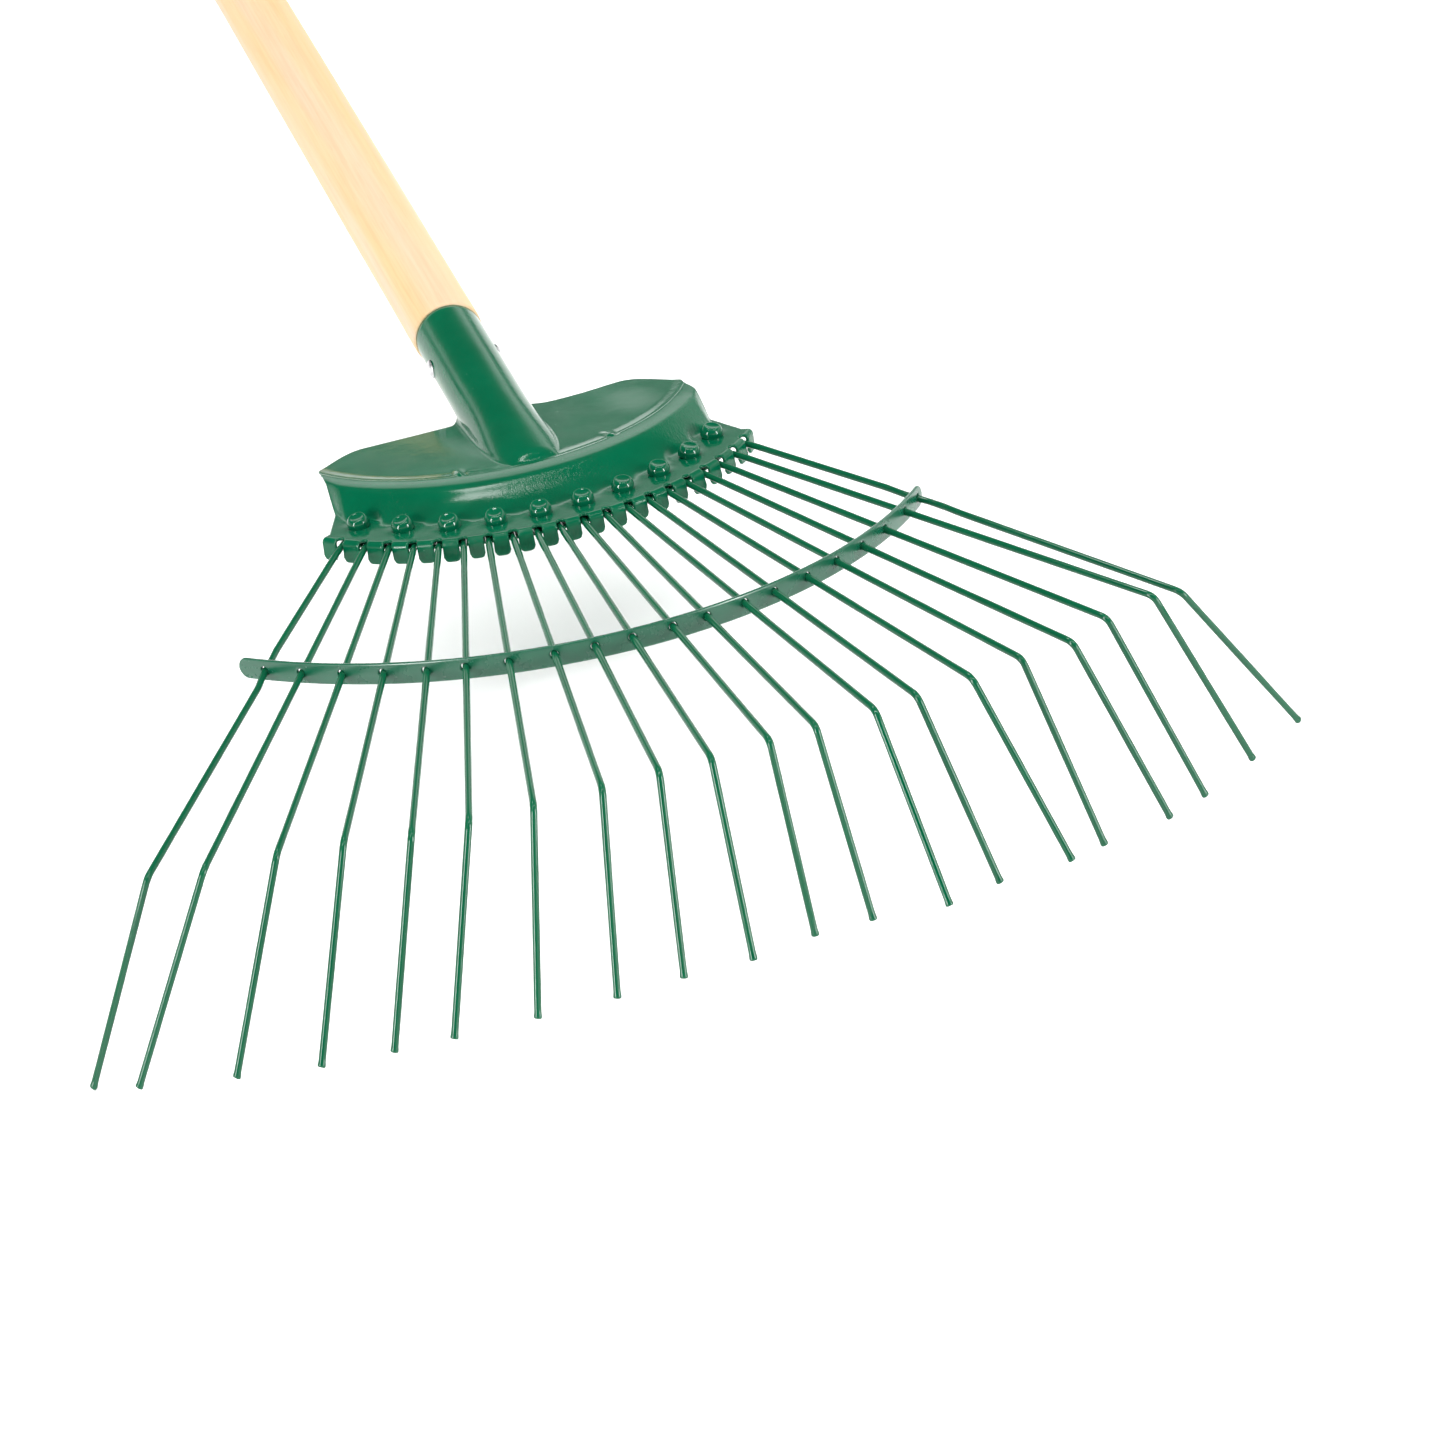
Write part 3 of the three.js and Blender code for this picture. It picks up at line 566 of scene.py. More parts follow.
def ridge_section(y, half_width):
    """Half of the plateau's cross-section at y, from the ridge's top outward: its points,
    their lengths along it, and the length of its round part."""
    axis_z = axis_height(y)
    high = SOCKET_R / math.cos(SOCKET_SLOPE)
    fillet = RIDGE_FILLET + RIDGE_REAR_FILLET * float(smoothstep(*RIDGE_FILLET_Y, y))
    up = PLATEAU_TOP + fillet - axis_z
    flat_x = math.sqrt(max((SOCKET_R + fillet) ** 2 - up * up, 1.0))
    last = math.atan2(flat_x, up)
    angles = np.linspace(0, last, RIDGE_ARC_POINTS)
    arc = [(SOCKET_R * math.sin(a), axis_z + high * math.cos(a)) for a in angles]
    # a curve leads from the arc's tangent to the level plateau
    end_x, end_z = arc[-1]
    corner_x = end_x - SOCKET_R / math.tan(last) * (PLATEAU_TOP - end_z) / high
    fillet_curve = []
    for s in np.linspace(0, 1, FILLET_STEPS + 1)[1:]:
        x = end_x * (1 - s) ** 2 + corner_x * 2 * s * (1 - s) + flat_x * s * s
        fillet_curve.append((x, end_z * (1 - s) ** 2 + PLATEAU_TOP * (1 - (1 - s) ** 2)))
    points = np.array(arc + fillet_curve)
    points[:, 0] *= 1 + RIDGE_WIDENING * float(smoothstep(*RIDGE_WIDENING_Y, y))
    points = np.vstack([points, (half_width, PLATEAU_TOP)])
    lengths = np.concatenate([[0], np.cumsum(np.linalg.norm(np.diff(points, axis=0), axis=1))])
    return points, lengths, lengths[len(arc) - 1]


def plateau_point(crease_x, crease_y, rear_y, v):
    """The plateau at share v of the way from its rear edge to the crease, and whether it
    lies on the ridge's round part there."""
    sign = 1 if crease_x >= 0 else -1
    x0 = abs(crease_x)
    half_width = RIDGE_REAR_HALF + (RIDGE_FRONT_HALF - RIDGE_REAR_HALF) * v
    if x0 >= RIDGE_FRONT_HALF:
        rest = (x0 - RIDGE_FRONT_HALF) / (CREASE_END_X - RIDGE_FRONT_HALF)
        x = half_width + rest * (CREASE_END_X - half_width)
        z = PLATEAU_TOP
        on_ridge = False
    else:
        cuff_y = PLATEAU_REAR_Y - RIM + CUFF
        ridge_y = cuff_y + (crease_y - cuff_y) * v
        section, lengths, arc_length = ridge_section(ridge_y, half_width)
        along = x0 / RIDGE_FRONT_HALF * lengths[-1]
        x, z = (np.interp(along, lengths, section[:, k]) for k in (0, 1))
        on_ridge = along <= arc_length
    reach = RIGHT_CUFF_REACH if sign > 0 else LEFT_CUFF_REACH
    top_y = rear_y + CUFF * max(0.0, 1 - max(0.0, x - SOCKET_R) / reach) ** 2
    y = ridge_y if on_ridge else top_y + (crease_y - top_y) * v
    z = PLATEAU_TOP + (z - PLATEAU_TOP) * float(smoothstep(*RIDGE_FADE, y - crease_y))
    return (sign * x, y, z), on_ridge


def plateau_rows(lines):
    """Rows from the rear edge to the crease, and the rear edge's columns on the ridge."""
    rows = []
    for v in PLATEAU_SHARES:
        found = [plateau_point(x, y, rear_y, v) for (x, y), rear_y in zip(lines["crease"], lines["rear_y"])]
        rows.append(np.array([point for point, on_ridge in found]))
        if v == 0:
            ridge_columns = [i for i, (point, on_ridge) in enumerate(found) if on_ridge]
    return rows, ridge_columns


# How steep the slope is on its way down: its shoulder steepens from a start, and gives way
# to a steep face, which eases out into a hollow foot.
SHOULDER_START = 0.06
SHOULDER_GROWTH = 0.62
SHOULDER_END = (0.26, 0.40)
FACE_START = (0.26, 0.42)
FACE_STEEPNESS = 3.3
FOOT_POWER = 0.95


def slope_profile():
    """Shares of the way down the slope, and the share of the drop reached at each."""
    k = np.linspace(0, 1, 401)
    shoulder = (SHOULDER_START + SHOULDER_GROWTH * k) * (1 - smoothstep(*SHOULDER_END, k))
    steepness = shoulder + FACE_STEEPNESS * smoothstep(*FACE_START, k) * (1 - k) ** FOOT_POWER
    fall = np.concatenate([[0], np.cumsum((steepness[1:] + steepness[:-1]) / 2)])
    return k, fall / fall[-1]


def slope_rows(lines):
    rows = []
    shares, falls = slope_profile()
    for k in np.linspace(0, 1, SLOPE_ROWS + 1):
        x, y = (lines["crease"] + (lines["foot"] - lines["crease"]) * k).T
        bulge = SLOPE_BULGE * math.sin(math.pi * k) * smoothstep(0.86, 1.0, lines["share"])
        z = PLATEAU_TOP - (PLATEAU_TOP - FLANGE_TOP) * np.interp(k, shares, falls)
        rows.append(np.stack([x + bulge, y, 0 * x + z], 1))
    return rows


def flange_rows(lines, foot):
    flange_end = lines["bend_start"] - lines["out"] * LAST_FLANGE
    return [foot + (flange_end - foot) * s for s in np.linspace(0, 1, FLANGE_ROWS + 1)[1:]]


CREST = 0.30
HOLLOW = 0.54
GROOVE = 0.10
CENTRE_GROOVE = 0.12
# Marks left by the press behind the crease, a rise with a dent beside it: place across,
# length and slant.
PRESS_MARKS = [(-27.5, 3.2, 0.0), (30.5, 3.6, 0.35)]
MARK_BEHIND = 3.6
MARK_RISE = 0.75
MARK_DENT = 0.35
MARK_WIDTH = 1.1
DENT_ASIDE = 2.0
CORNER_LIFT = 1.0
CORNER_LIFT_X = 52
CORNER_LIFT_WIDTH = 13
SEAT_EDGE = (9.4, 6.4)
DISH_EDGE = (8.0, 3.0)
SEAT_DISH = 0.16
UNEVEN = 0.10


def crease_relief(x, behind):
    """A crest along the crease with a fine groove behind it, and a slightly hollow plateau."""
    on_plateau = CREST - HOLLOW * smoothstep(0.0, 6.5, behind)
    on_slope = CREST * (1 - smoothstep(0, 15, -behind))
    depth = GROOVE + CENTRE_GROOVE * smoothstep(34, 27, np.abs(x))
    groove = -depth * np.exp(-((behind - 0.9) / 0.45) ** 2)
    return np.where(behind > 0, on_plateau, on_slope) + groove


def press_mark(x, y, mark_x, length, lean):
    mark_y = CREASE_CENTRE_Y - math.sqrt(CREASE_R ** 2 - mark_x ** 2) + MARK_BEHIND
    dy = y - mark_y
    dx = x - mark_x + lean * dy
    rise = MARK_RISE * np.exp(-(dx / MARK_WIDTH) ** 2 - (dy / length) ** 4)
    return rise - MARK_DENT * np.exp(-(dx - DENT_ASIDE) ** 2 - (dy / length) ** 4)


def press_details(grid):
    """Moves the sheet's points up and down by what the press left in it."""
    x, y, z = grid[:, :, 0], grid[:, :, 1], grid[:, :, 2]
    behind = CREASE_R - np.hypot(x, y - CREASE_CENTRE_Y)
    level = smoothstep(1.6, 0.0, z - PLATEAU_TOP)
    z += crease_relief(x, behind) * level
    for mark in PRESS_MARKS:
        z += press_mark(x, y, *mark) * (behind > 0)
    # the right rear corner is bent up a little
    z += CORNER_LIFT * np.exp(-((x - CORNER_LIFT_X) / CORNER_LIFT_WIDTH) ** 2) * smoothstep(62, 98, y)
    # round seats for the rivets, cut into the foot of the slope and slightly dished
    near = np.min([np.hypot(x - c[0], y - c[1]) for c in rivets], axis=0)
    z -= np.maximum(0, z - FLANGE_TOP) * smoothstep(*SEAT_EDGE, near)
    z -= SEAT_DISH * smoothstep(*DISH_EDGE, near) * (z < FLANGE_TOP + 3)
    # the plateau is not perfectly even after pressing
    z += UNEVEN * np.sin(x / 13 + 0.7) * np.cos(y / 17 + x / 41) * smoothstep(2, 12, behind) * level


def over_bend(length):
    """How far out and how high the sheet is, at a length from the start of its bend."""
    theta = np.clip(length / BEND_R, 0, math.pi / 2)
    straight = np.maximum(0, length - BEND_R * math.pi / 2)
    reach = BEND_R * np.sin(theta) + np.minimum(0, length)
    return reach, FLANGE_TOP - BEND_R * (1 - np.cos(theta)) - straight


def arch_top(column):
    """Where the wall starts below a notch's round top, as a length from the start of the bend."""
    if column["notch"] is None:
        return ARCH_CENTRE
    return ARCH_CENTRE - math.sqrt(max(0.0, NOTCH_HALF ** 2 - (column["s"] - column["notch"]) ** 2))


def tooth_end(column):
    """The height of a tooth's end, which has rounded corners."""
    low, high = column["tooth"]
    beyond = max(0.0, TOOTH_CORNER_R - min(column["s"] - low, high - column["s"])) / TOOTH_CORNER_R
    return TOOTH_END_Z + RIM + TOOTH_CORNER_R * (1 - math.sqrt(max(0, 1 - beyond ** 2)))


def comb_rows(columns, lines, flange_z):
    """Rows over the bend to the notches' round tops, and from there down the teeth."""
    top = np.array([arch_top(c) for c in columns])
    end = BEND_R * math.pi / 2 + FLANGE_TOP - BEND_R - np.array([tooth_end(c) for c in columns])
    # the teeth were sheared and folded one by one, and lean a little
    leans = {tooth: rng.uniform(*TOOTH_LEANS) for tooth in sorted({c["tooth"] for c in columns})}
    lean = np.array([leans[c["tooth"]] for c in columns]) * TOOTH_LEAN_LENGTH
    rows = []
    for share in np.arange(1, ARCH_ROWS + 1) / ARCH_ROWS:
        reach, z = over_bend(-LAST_FLANGE + (top + LAST_FLANGE) * share)
        rows.append(lines["bend_start"] + lines["out"] * reach[:, None])
        rows[-1][:, 2] = z + (flange_z - FLANGE_TOP) * (1 - share)
    for share in np.arange(1, TOOTH_ROWS + 1) / TOOTH_ROWS:
        reach, z = over_bend(top + (end - top) * share)
        rows.append(lines["bend_start"] + lines["out"] * (reach + lean * share ** 2)[:, None])
        rows[-1][:, 2] = z
    return rows


def sheet_faces(columns, row_count, first_tooth_row):
    n = len(columns)
    in_notch = [c["notch"] is not None for c in columns]
    faces = []
    for j in range(row_count - 1):
        for i in range(n - 1):
            if j + 1 < first_tooth_row or not (in_notch[i] or in_notch[i + 1]):
                k = j * n + i
                faces.append((k, k + n, k + n + 1, k + 1))
    return faces


SEAM_ANGLE = 177.4
SOCKET_SIDE_STEPS = 14
SOCKET_ROWS = 26
UNDERSIDE_ANGLE = 101
UNDERSIDE_FRONT_Y = 97.5
UNDERSIDE_ROWS = 5


def socket_wall(angle, s):
    """The socket's outside at an angle from its top and a length along its axis."""
    return socket_point(s) + SOCKET_R * (vec(math.sin(angle), 0, 0) + above_socket * math.cos(angle))


def length_at_y(angle, y):
    across = SOCKET_R * math.cos(angle) * math.sin(SOCKET_SLOPE)
    return (y - SOCKET_AXIS_Y + across) / math.cos(SOCKET_SLOPE)


def add_socket(points, faces, ridge):
    """The ridge's rear edge runs on rearward and closes into a tube, open along a seam below.
    The tube's lower half starts further forward, under the plateau."""
    points = list(points)
    rear_y = points[ridge[0]][1]
    high = SOCKET_R / math.cos(SOCKET_SLOPE)
    ridge_angles = [math.atan2(points[k][0] / SOCKET_R, (points[k][2] - axis_height(rear_y)) / high)
                    for k in ridge]
    seam = math.radians(SEAM_ANGLE)
    sides = list(np.linspace(max(ridge_angles), seam, SOCKET_SIDE_STEPS + 1)[1:])
    angles = [-a for a in reversed(sides)] + ridge_angles + sides

    def add(new_points):
        points.extend(new_points)
        return list(range(len(points) - len(new_points), len(points)))

    def add_at_y(some_angles, y):
        return add([socket_wall(a, length_at_y(a, y)) for a in some_angles])

    left = add_at_y(angles[:SOCKET_SIDE_STEPS], rear_y)
    first = left + ridge + add_at_y(sides, rear_y)
    starts = [length_at_y(a, rear_y) for a in angles]
    previous = first
    for share in np.arange(1, SOCKET_ROWS + 1) / SOCKET_ROWS:
        end = SOCKET_MOUTH - RIM
        current = add([socket_wall(a, s + (end - s) * share) for a, s in zip(angles, starts)])
        faces += strip(previous, current)
        previous = current
    for sign in (-1, 1):
        members = [k for k, a in enumerate(angles) if sign * a >= math.radians(UNDERSIDE_ANGLE)]
        previous = [first[k] for k in members]
        for r in range(1, UNDERSIDE_ROWS + 1):
            y = rear_y - (rear_y - UNDERSIDE_FRONT_Y) * r / UNDERSIDE_ROWS
            current = add_at_y([angles[k] for k in members], y)
            faces += strip(current, previous)
            previous = current
    return np.array(points), faces


def head_plate():
    columns = comb_columns()
    lines = sheet_lines(columns)
    rows, ridge = plateau_rows(lines)
    rows += slope_rows(lines)
    rows += flange_rows(lines, rows[-1])
    grid = np.array(rows)
    press_details(grid)
    comb = comb_rows(columns, lines, grid[-1, :, 2])
    points = np.vstack([*grid, *comb])
    faces = sheet_faces(columns, len(grid) + len(comb), len(grid) + ARCH_ROWS)
    points, faces = drop_unused(*add_socket(points, faces, ridge))
    return thicken(points, faces, SHEET, RIM)


# ---- clamp plate, rivets, spacer bar ----

CLAMP_STEPS = 120
CLAMP_ROWS = 10
CLAMP_CORNER_R = 3
CLAMP_CROWN = 0.12


def clamp_plate():
    """The curved strip under the wires, slightly crowned across, with rounded corners."""
    points = []
    step = math.radians(2 * CLAMP_HALF_ANGLE) / CLAMP_STEPS
    for i in range(CLAMP_STEPS + 1):
        a = i * step - math.radians(CLAMP_HALF_ANGLE)
        half = CLAMP_WIDTH / 2 - RIM
        short = max(0, CLAMP_CORNER_R - min(i, CLAMP_STEPS - i) * step * RIVET_R)
        half -= CLAMP_CORNER_R - math.sqrt(CLAMP_CORNER_R ** 2 - short ** 2)
        for w in np.linspace(-1, 1, CLAMP_ROWS + 1):
            r = RIVET_R + w * half
            z = CLAMP_TOP - CLAMP_CROWN * w * w
            points.append((r * math.sin(a), RIVET_CENTRE_Y - r * math.cos(a), z))
    return thicken(np.array(points), grid_faces(CLAMP_STEPS, CLAMP_ROWS), SHEET, RIM)


RIVET_SIDES = 40
RIVET_WOBBLE = 0.012
RIVET_FOOT = CLAMP_TOP - SHEET - 0.15
RIVET_SEAT = FLANGE_TOP + 0.1
# Outlines as radius and height. The lower head is measured down from its foot. The upper
# head is measured up from its seat: a turned base, a taper, a rim and a dished top.
RIVET_TAIL = [(0, 1.6), (1.2, 1.6), (2.3, 1.5), (3.2, 1.15), (3.75, 0.55), (3.9, 0)]
RIVET_HEAD = [
    (2.5, -0.42), (3.6, -0.4), (3.95, -0.25), (4.16, 0.05), (4.22, 0.45), (4.12, 0.8), (4.17, 1.1),
    (4.08, 1.45), (4.12, 1.75), (4.02, 2.2), (3.86, 2.65), (3.62, 3.1), (3.32, 3.5), (3.04, 3.8),
    (2.8, 3.9), (2.5, 3.86), (2.2, 3.72), (1.7, 3.58), (0.8, 3.5), (0, 3.48),
]
RIVET_UNDERSIDE = RIVET_SEAT - 0.35
RIVET_LEAN = 13.0
RIVET_UNEVEN = 2.5
RIVET_FAN_X = 90


def rivet(pair):
    """A rivet whose upper head leans forward and outward, give or take how it was set."""
    shank = [(RIVET_SHANK_R + 0.2, RIVET_FOOT + 0.05), (RIVET_SHANK_R, RIVET_FOOT + 0.4),
             (RIVET_SHANK_R, RIVET_SEAT - 0.5)]
    tail = [(r, RIVET_FOOT - h) for r, h in RIVET_TAIL]
    head = [(r, RIVET_SEAT + h) for r, h in RIVET_HEAD]
    points, faces = lathe(tail + shank + head, RIVET_SIDES, RIVET_WOBBLE, seed=pair)
    forward = rng.uniform(-RIVET_UNEVEN, RIVET_UNEVEN) + RIVET_LEAN
    sideways = rng.uniform(-RIVET_UNEVEN, RIVET_UNEVEN) + RIVET_LEAN * rivets[pair][0] / RIVET_FAN_X
    lean = Matrix.Rotation(math.radians(forward), 3, "X") @ Matrix.Rotation(math.radians(sideways), 3, "Y")
    pivot = vec(0, 0, RIVET_SEAT)
    leaning = (points - pivot) @ np.array(lean).T + pivot
    in_head = points[:, 2:] > RIVET_UNDERSIDE
    return np.where(in_head, leaning, points) + rivets[pair], faces


BAR_SAMPLES = 400
BAR_CELL = 0.5
BAR_ROWS = 14
BAR_RIM = 0.22
BAR_EDGE = 0.25
BAR_LEAST_HALF = 0.35
BAR_HOLE_R = 1.6
HOLE_SEARCH = 6
HEADING_SPAN = 2


def bar_half_height(end):
    """Half of the bar's height at a length from its round end, less the rim's rounding."""
    h = BAR_HEIGHT / 2
    if end >= h:
        return h - BAR_EDGE
    return max(math.sqrt(max(0.04, h * h - (h - end) ** 2)) - BAR_EDGE, BAR_LEAST_HALF)


def bar_strip():
    """The bar's front face as a grid of points, upright along its middle line."""
    samples = BAR_LEFT_END + (BAR_RIGHT_END - BAR_LEFT_END) * np.arange(BAR_SAMPLES + 1) / BAR_SAMPLES
    line = np.array([bar_point(u) for u in samples])
    lengths = np.concatenate([[0], np.cumsum(np.linalg.norm(np.diff(line, axis=0), axis=1))])
    total = lengths[-1]

    def line_at(length):
        return vec(*(np.interp(length, lengths, line[:, k]) for k in range(3)))

    end_r = BAR_HEIGHT / 2
    span = total + 2 * end_r
    cells = int(span / BAR_CELL)
    points = []
    for i in range(cells + 1):
        along = -end_r + span * i / cells
        half = bar_half_height(min(along + end_r, total + end_r - along))
        inside = min(max(along, 0), total)
        heading = unit(line_at(inside + HEADING_SPAN) - line_at(inside - HEADING_SPAN))
        middle = line_at(inside) + heading * (along - inside)
        up = unit(vec(0, 0, 1) - heading * heading[2])
        face = middle + np.cross(heading, up) * BAR_THICK / 2
        points += [face + up * half * w for w in np.linspace(-1, 1, BAR_ROWS + 1)]
    return np.array(points), grid_faces(cells, BAR_ROWS)


def punch_hole(points, faces, centre, axis):
    """Takes out the faces inside a hole round an axis, and draws the rim left onto a circle."""
    def off_axis(ray):
        return np.linalg.norm(ray - axis * axis.dot(ray))

    near = np.linalg.norm(points - centre, axis=1) < HOLE_SEARCH
    inside = {f for f in faces if near[f[0]] and off_axis(points[list(f)].mean(0) - centre) <= BAR_HOLE_R}
    left = [f for f in faces if f not in inside]
    removed = sorted({v for f in inside for v in f})
    middle = points[removed].mean(0)
    for v in {v for f in left for v in f}.intersection(removed):
        ray = points[v] - middle
        points[v] = middle + ray * BAR_HOLE_R / off_axis(ray)
    return left


def kink_at_bar(t):
    """How far a wire's joggle carries it along X where it goes through the bar."""
    if not kink_of(t):
        return 0
    before, after = kink_of(t)[1:3]
    return t["u"] * (before[1] + after[1]) / 2


def spacer_bar():
    """The thin strip on edge, with a hole round each wire, slightly larger than the wire."""
    points, faces = bar_strip()
    for t in tines:
        faces = punch_hole(points, faces, t["bar"] + vec(kink_at_bar(t), 0, 0), t["shank"])
    return thicken(*drop_unused(points, faces), BAR_THICK, BAR_RIM)


# ---- handle and cross pin ----

HANDLE_SIDES = 72
HANDLE_ROWS = 100
PIN_SIDES = 40
PIN_WOBBLE = 0.02
BUTT_INSET = 4.95
BUTT_TURN = 80
BUTT_FLAT_R = 8.6
TENON_CHAMFER = 2
# Outline of the cross pin's head: radius, and height above the socket.
CROSS_HEAD = [(2.0, -0.3), (3.5, -0.25), (3.72, -0.1), (3.6, 0.22), (3.2, 0.6), (2.6, 0.95), (1.7, 1.25),
              (0.8, 1.4), (0, 1.42)]


def handle():
    """The pole: a tenon in the socket, a rounded shoulder at its mouth, and a rounded butt."""
    mouth = SOCKET_MOUTH + 0.15
    tenon_r = SOCKET_R - SHEET - 0.25
    profile = [(0, -HANDLE_TENON), (tenon_r - TENON_CHAMFER, -HANDLE_TENON),
               (tenon_r, -HANDLE_TENON + TENON_CHAMFER), (tenon_r, -20), (tenon_r, mouth - 0.1)]
    profile += [(SOCKET_R - 0.6, mouth), (SOCKET_R + 0.1, mouth + 0.15), (HANDLE_R - 0.25, mouth + 0.45),
                (HANDLE_R - 0.05, mouth + 1.0), (HANDLE_R, mouth + 2.0)]
    for s in np.linspace(mouth + 12, HANDLE_LENGTH - 20, HANDLE_ROWS):
        # the turned pole is not quite even
        profile.append((HANDLE_R + 0.05 * math.sin(s / 83) + 0.03 * math.sin(s / 21 + 2), s))
    for a in np.radians(np.linspace(0, BUTT_TURN, 9)):
        forward = BUTT_LENGTH * math.sin(a) / math.sin(math.radians(BUTT_TURN))
        profile.append((HANDLE_R - BUTT_INSET * (1 - math.cos(a)), HANDLE_LENGTH - BUTT_LENGTH + forward))
    profile += [(BUTT_FLAT_R, HANDLE_LENGTH), (4, HANDLE_LENGTH), (0, HANDLE_LENGTH)]
    return lathe(profile, HANDLE_SIDES)


def cross_pin():
    head = [(r, SOCKET_R + 0.02 + h) for r, h in CROSS_HEAD]
    return lathe([(r, -z) for r, z in head[::-1]] + head, PIN_SIDES, PIN_WOBBLE, seed=3)


# ---- materials ----

BLACK = (0, 0, 0)
WHITE = (1, 1, 1)


def new_material(name):
    material = bpy.data.materials.new(name)
    material.use_nodes = True
    tree = material.node_tree
    tree.nodes.clear()
    output = tree.nodes.new("ShaderNodeOutputMaterial")
    shader = tree.nodes.new("ShaderNodeBsdfPrincipled")
    tree.links.new(shader.outputs["BSDF"], output.inputs["Surface"])
    return material, tree, shader


def set_input(tree, socket, value):
    if isinstance(value, bpy.types.NodeSocket):
        tree.links.new(value, socket)
    else:
        socket.default_value = value


def node(tree, kind, inputs=None, **settings):
    n = tree.nodes.new("ShaderNode" + kind)
    for key, value in settings.items():
        setattr(n, key, value)
    for key, value in (inputs or {}).items():
        set_input(tree, n.inputs[key], value)
    return n


def ramp(tree, value, stops):
    n = node(tree, "ValToRGB", {"Fac": value})
    while len(n.color_ramp.elements) < len(stops):
        n.color_ramp.elements.new(0.5)
    for element, (position, color) in zip(n.color_ramp.elements, stops):
        element.position = position
        element.color = (*color, 1)
    return n.outputs["Color"]


def noise(tree, place, scale, detail, roughness=0.5):
    inputs = {"Vector": place, "Scale": scale, "Detail": detail, "Roughness": roughness}
    return node(tree, "TexNoise", inputs).outputs["Fac"]


def calculate(tree, operation, a, b):
    return node(tree, "Math", {0: a, 1: b}, operation=operation).outputs[0]


def times(tree, a, b):
    return calculate(tree, "MULTIPLY", a, b)


def plus(tree, a, b):
    return calculate(tree, "ADD", a, b)


def mix_color(tree, factor, a, b, blend="MIX"):
    colors = [color if isinstance(color, bpy.types.NodeSocket) else (*color, 1) for color in (a, b)]
    inputs = {0: factor, 6: colors[0], 7: colors[1]}
    return node(tree, "Mix", inputs, data_type="RGBA", blend_type=blend).outputs[2]


def stretched(tree, place, scale, location=(0, 0, 0), rotation=(0, 0, 0)):
    inputs = {"Vector": place, "Scale": scale, "Location": location, "Rotation": rotation}
    return node(tree, "Mapping", inputs).outputs[0]


def from_range(tree, value, low, high, new_low=0.0, new_high=1.0):
    inputs = {"Value": value, "From Min": low, "From Max": high, "To Min": new_low, "To Max": new_high}
    return node(tree, "MapRange", inputs).outputs[0]


def finish_shader(tree, shader, color, roughness, height, depth):
    bump = node(tree, "Bump", {"Height": height, "Strength": 1.0, "Distance": depth})
    tree.links.new(color, shader.inputs["Base Color"])
    tree.links.new(roughness, shader.inputs["Roughness"])
    tree.links.new(bump.outputs["Normal"], shader.inputs["Normal"])


def scratches(tree, place):
    """Handling marks: patches of fine crosswise scratches on faces that look forward."""
    fine_place = stretched(tree, place, (1.0, 0.35, 0.35), rotation=(0.3, 0.0, 0.25))
    fine = noise(tree, fine_place, 1300.0, 3.0, 0.7)
    patches = ramp(tree, noise(tree, place, 24.0, 2.0), [(0.38, BLACK), (0.52, WHITE)])
    facing = node(tree, "SeparateXYZ", {0: node(tree, "NewGeometry").outputs["Normal"]}).outputs["Y"]
    patches = times(tree, patches, from_range(tree, facing, 0.12, -0.12))
    return times(tree, fine, patches)


def paint(name, dark, light, rough, index=1.31, peel=0.00002, specks=0.45, scuffs=0.0):
    """Gloss paint with a slight orange peel and fine dust, with a painted highlight along its edges, where
    the paint is also thinner.
    """
    material, tree, shader = new_material(name)
    place = node(tree, "TexCoord").outputs["Object"]
    color = ramp(tree, noise(tree, place, 42.0, 4.0, 0.55), [(0.3, dark), (0.7, light)])
    # Convex edges are mixed towards a lighter green: a painted edge highlight, which also stands for thinner
    # paint there.
    edge = ramp(tree, node(tree, "NewGeometry").outputs["Pointiness"], [(0.51, BLACK), (0.60, WHITE)])
    edge_highlight_color = tuple(c * 1.35 + 0.01 for c in light)
    color = mix_color(tree, times(tree, edge, 0.45), color, edge_highlight_color)
    dust = node(tree, "TexVoronoi", {"Vector": place, "Scale": 260.0}).outputs["Distance"]
    dust = ramp(tree, dust, [(0.035, WHITE), (0.07, BLACK)])
    dusty = ramp(tree, noise(tree, place, 19.0, 2.0), [(0.54, BLACK), (0.66, WHITE)])
    dust = times(tree, dust, dusty)
    color = mix_color(tree, times(tree, dust, specks), color, (0.12, 0.27, 0.19))
    gloss = from_range(tree, noise(tree, place, 75.0, 5.0, 0.6), 0.3, 0.7, *rough)
    height = plus(tree, times(tree, noise(tree, place, 130.0, 1.0), 2.2), noise(tree, place, 520.0, 1.5))
    height = plus(tree, height, times(tree, dust, 3.0))
    if scuffs:
        height = plus(tree, height, times(tree, scratches(tree, place), scuffs))
    finish_shader(tree, shader, color, gloss, height, peel)
    shader.inputs["IOR"].default_value = index
    return material


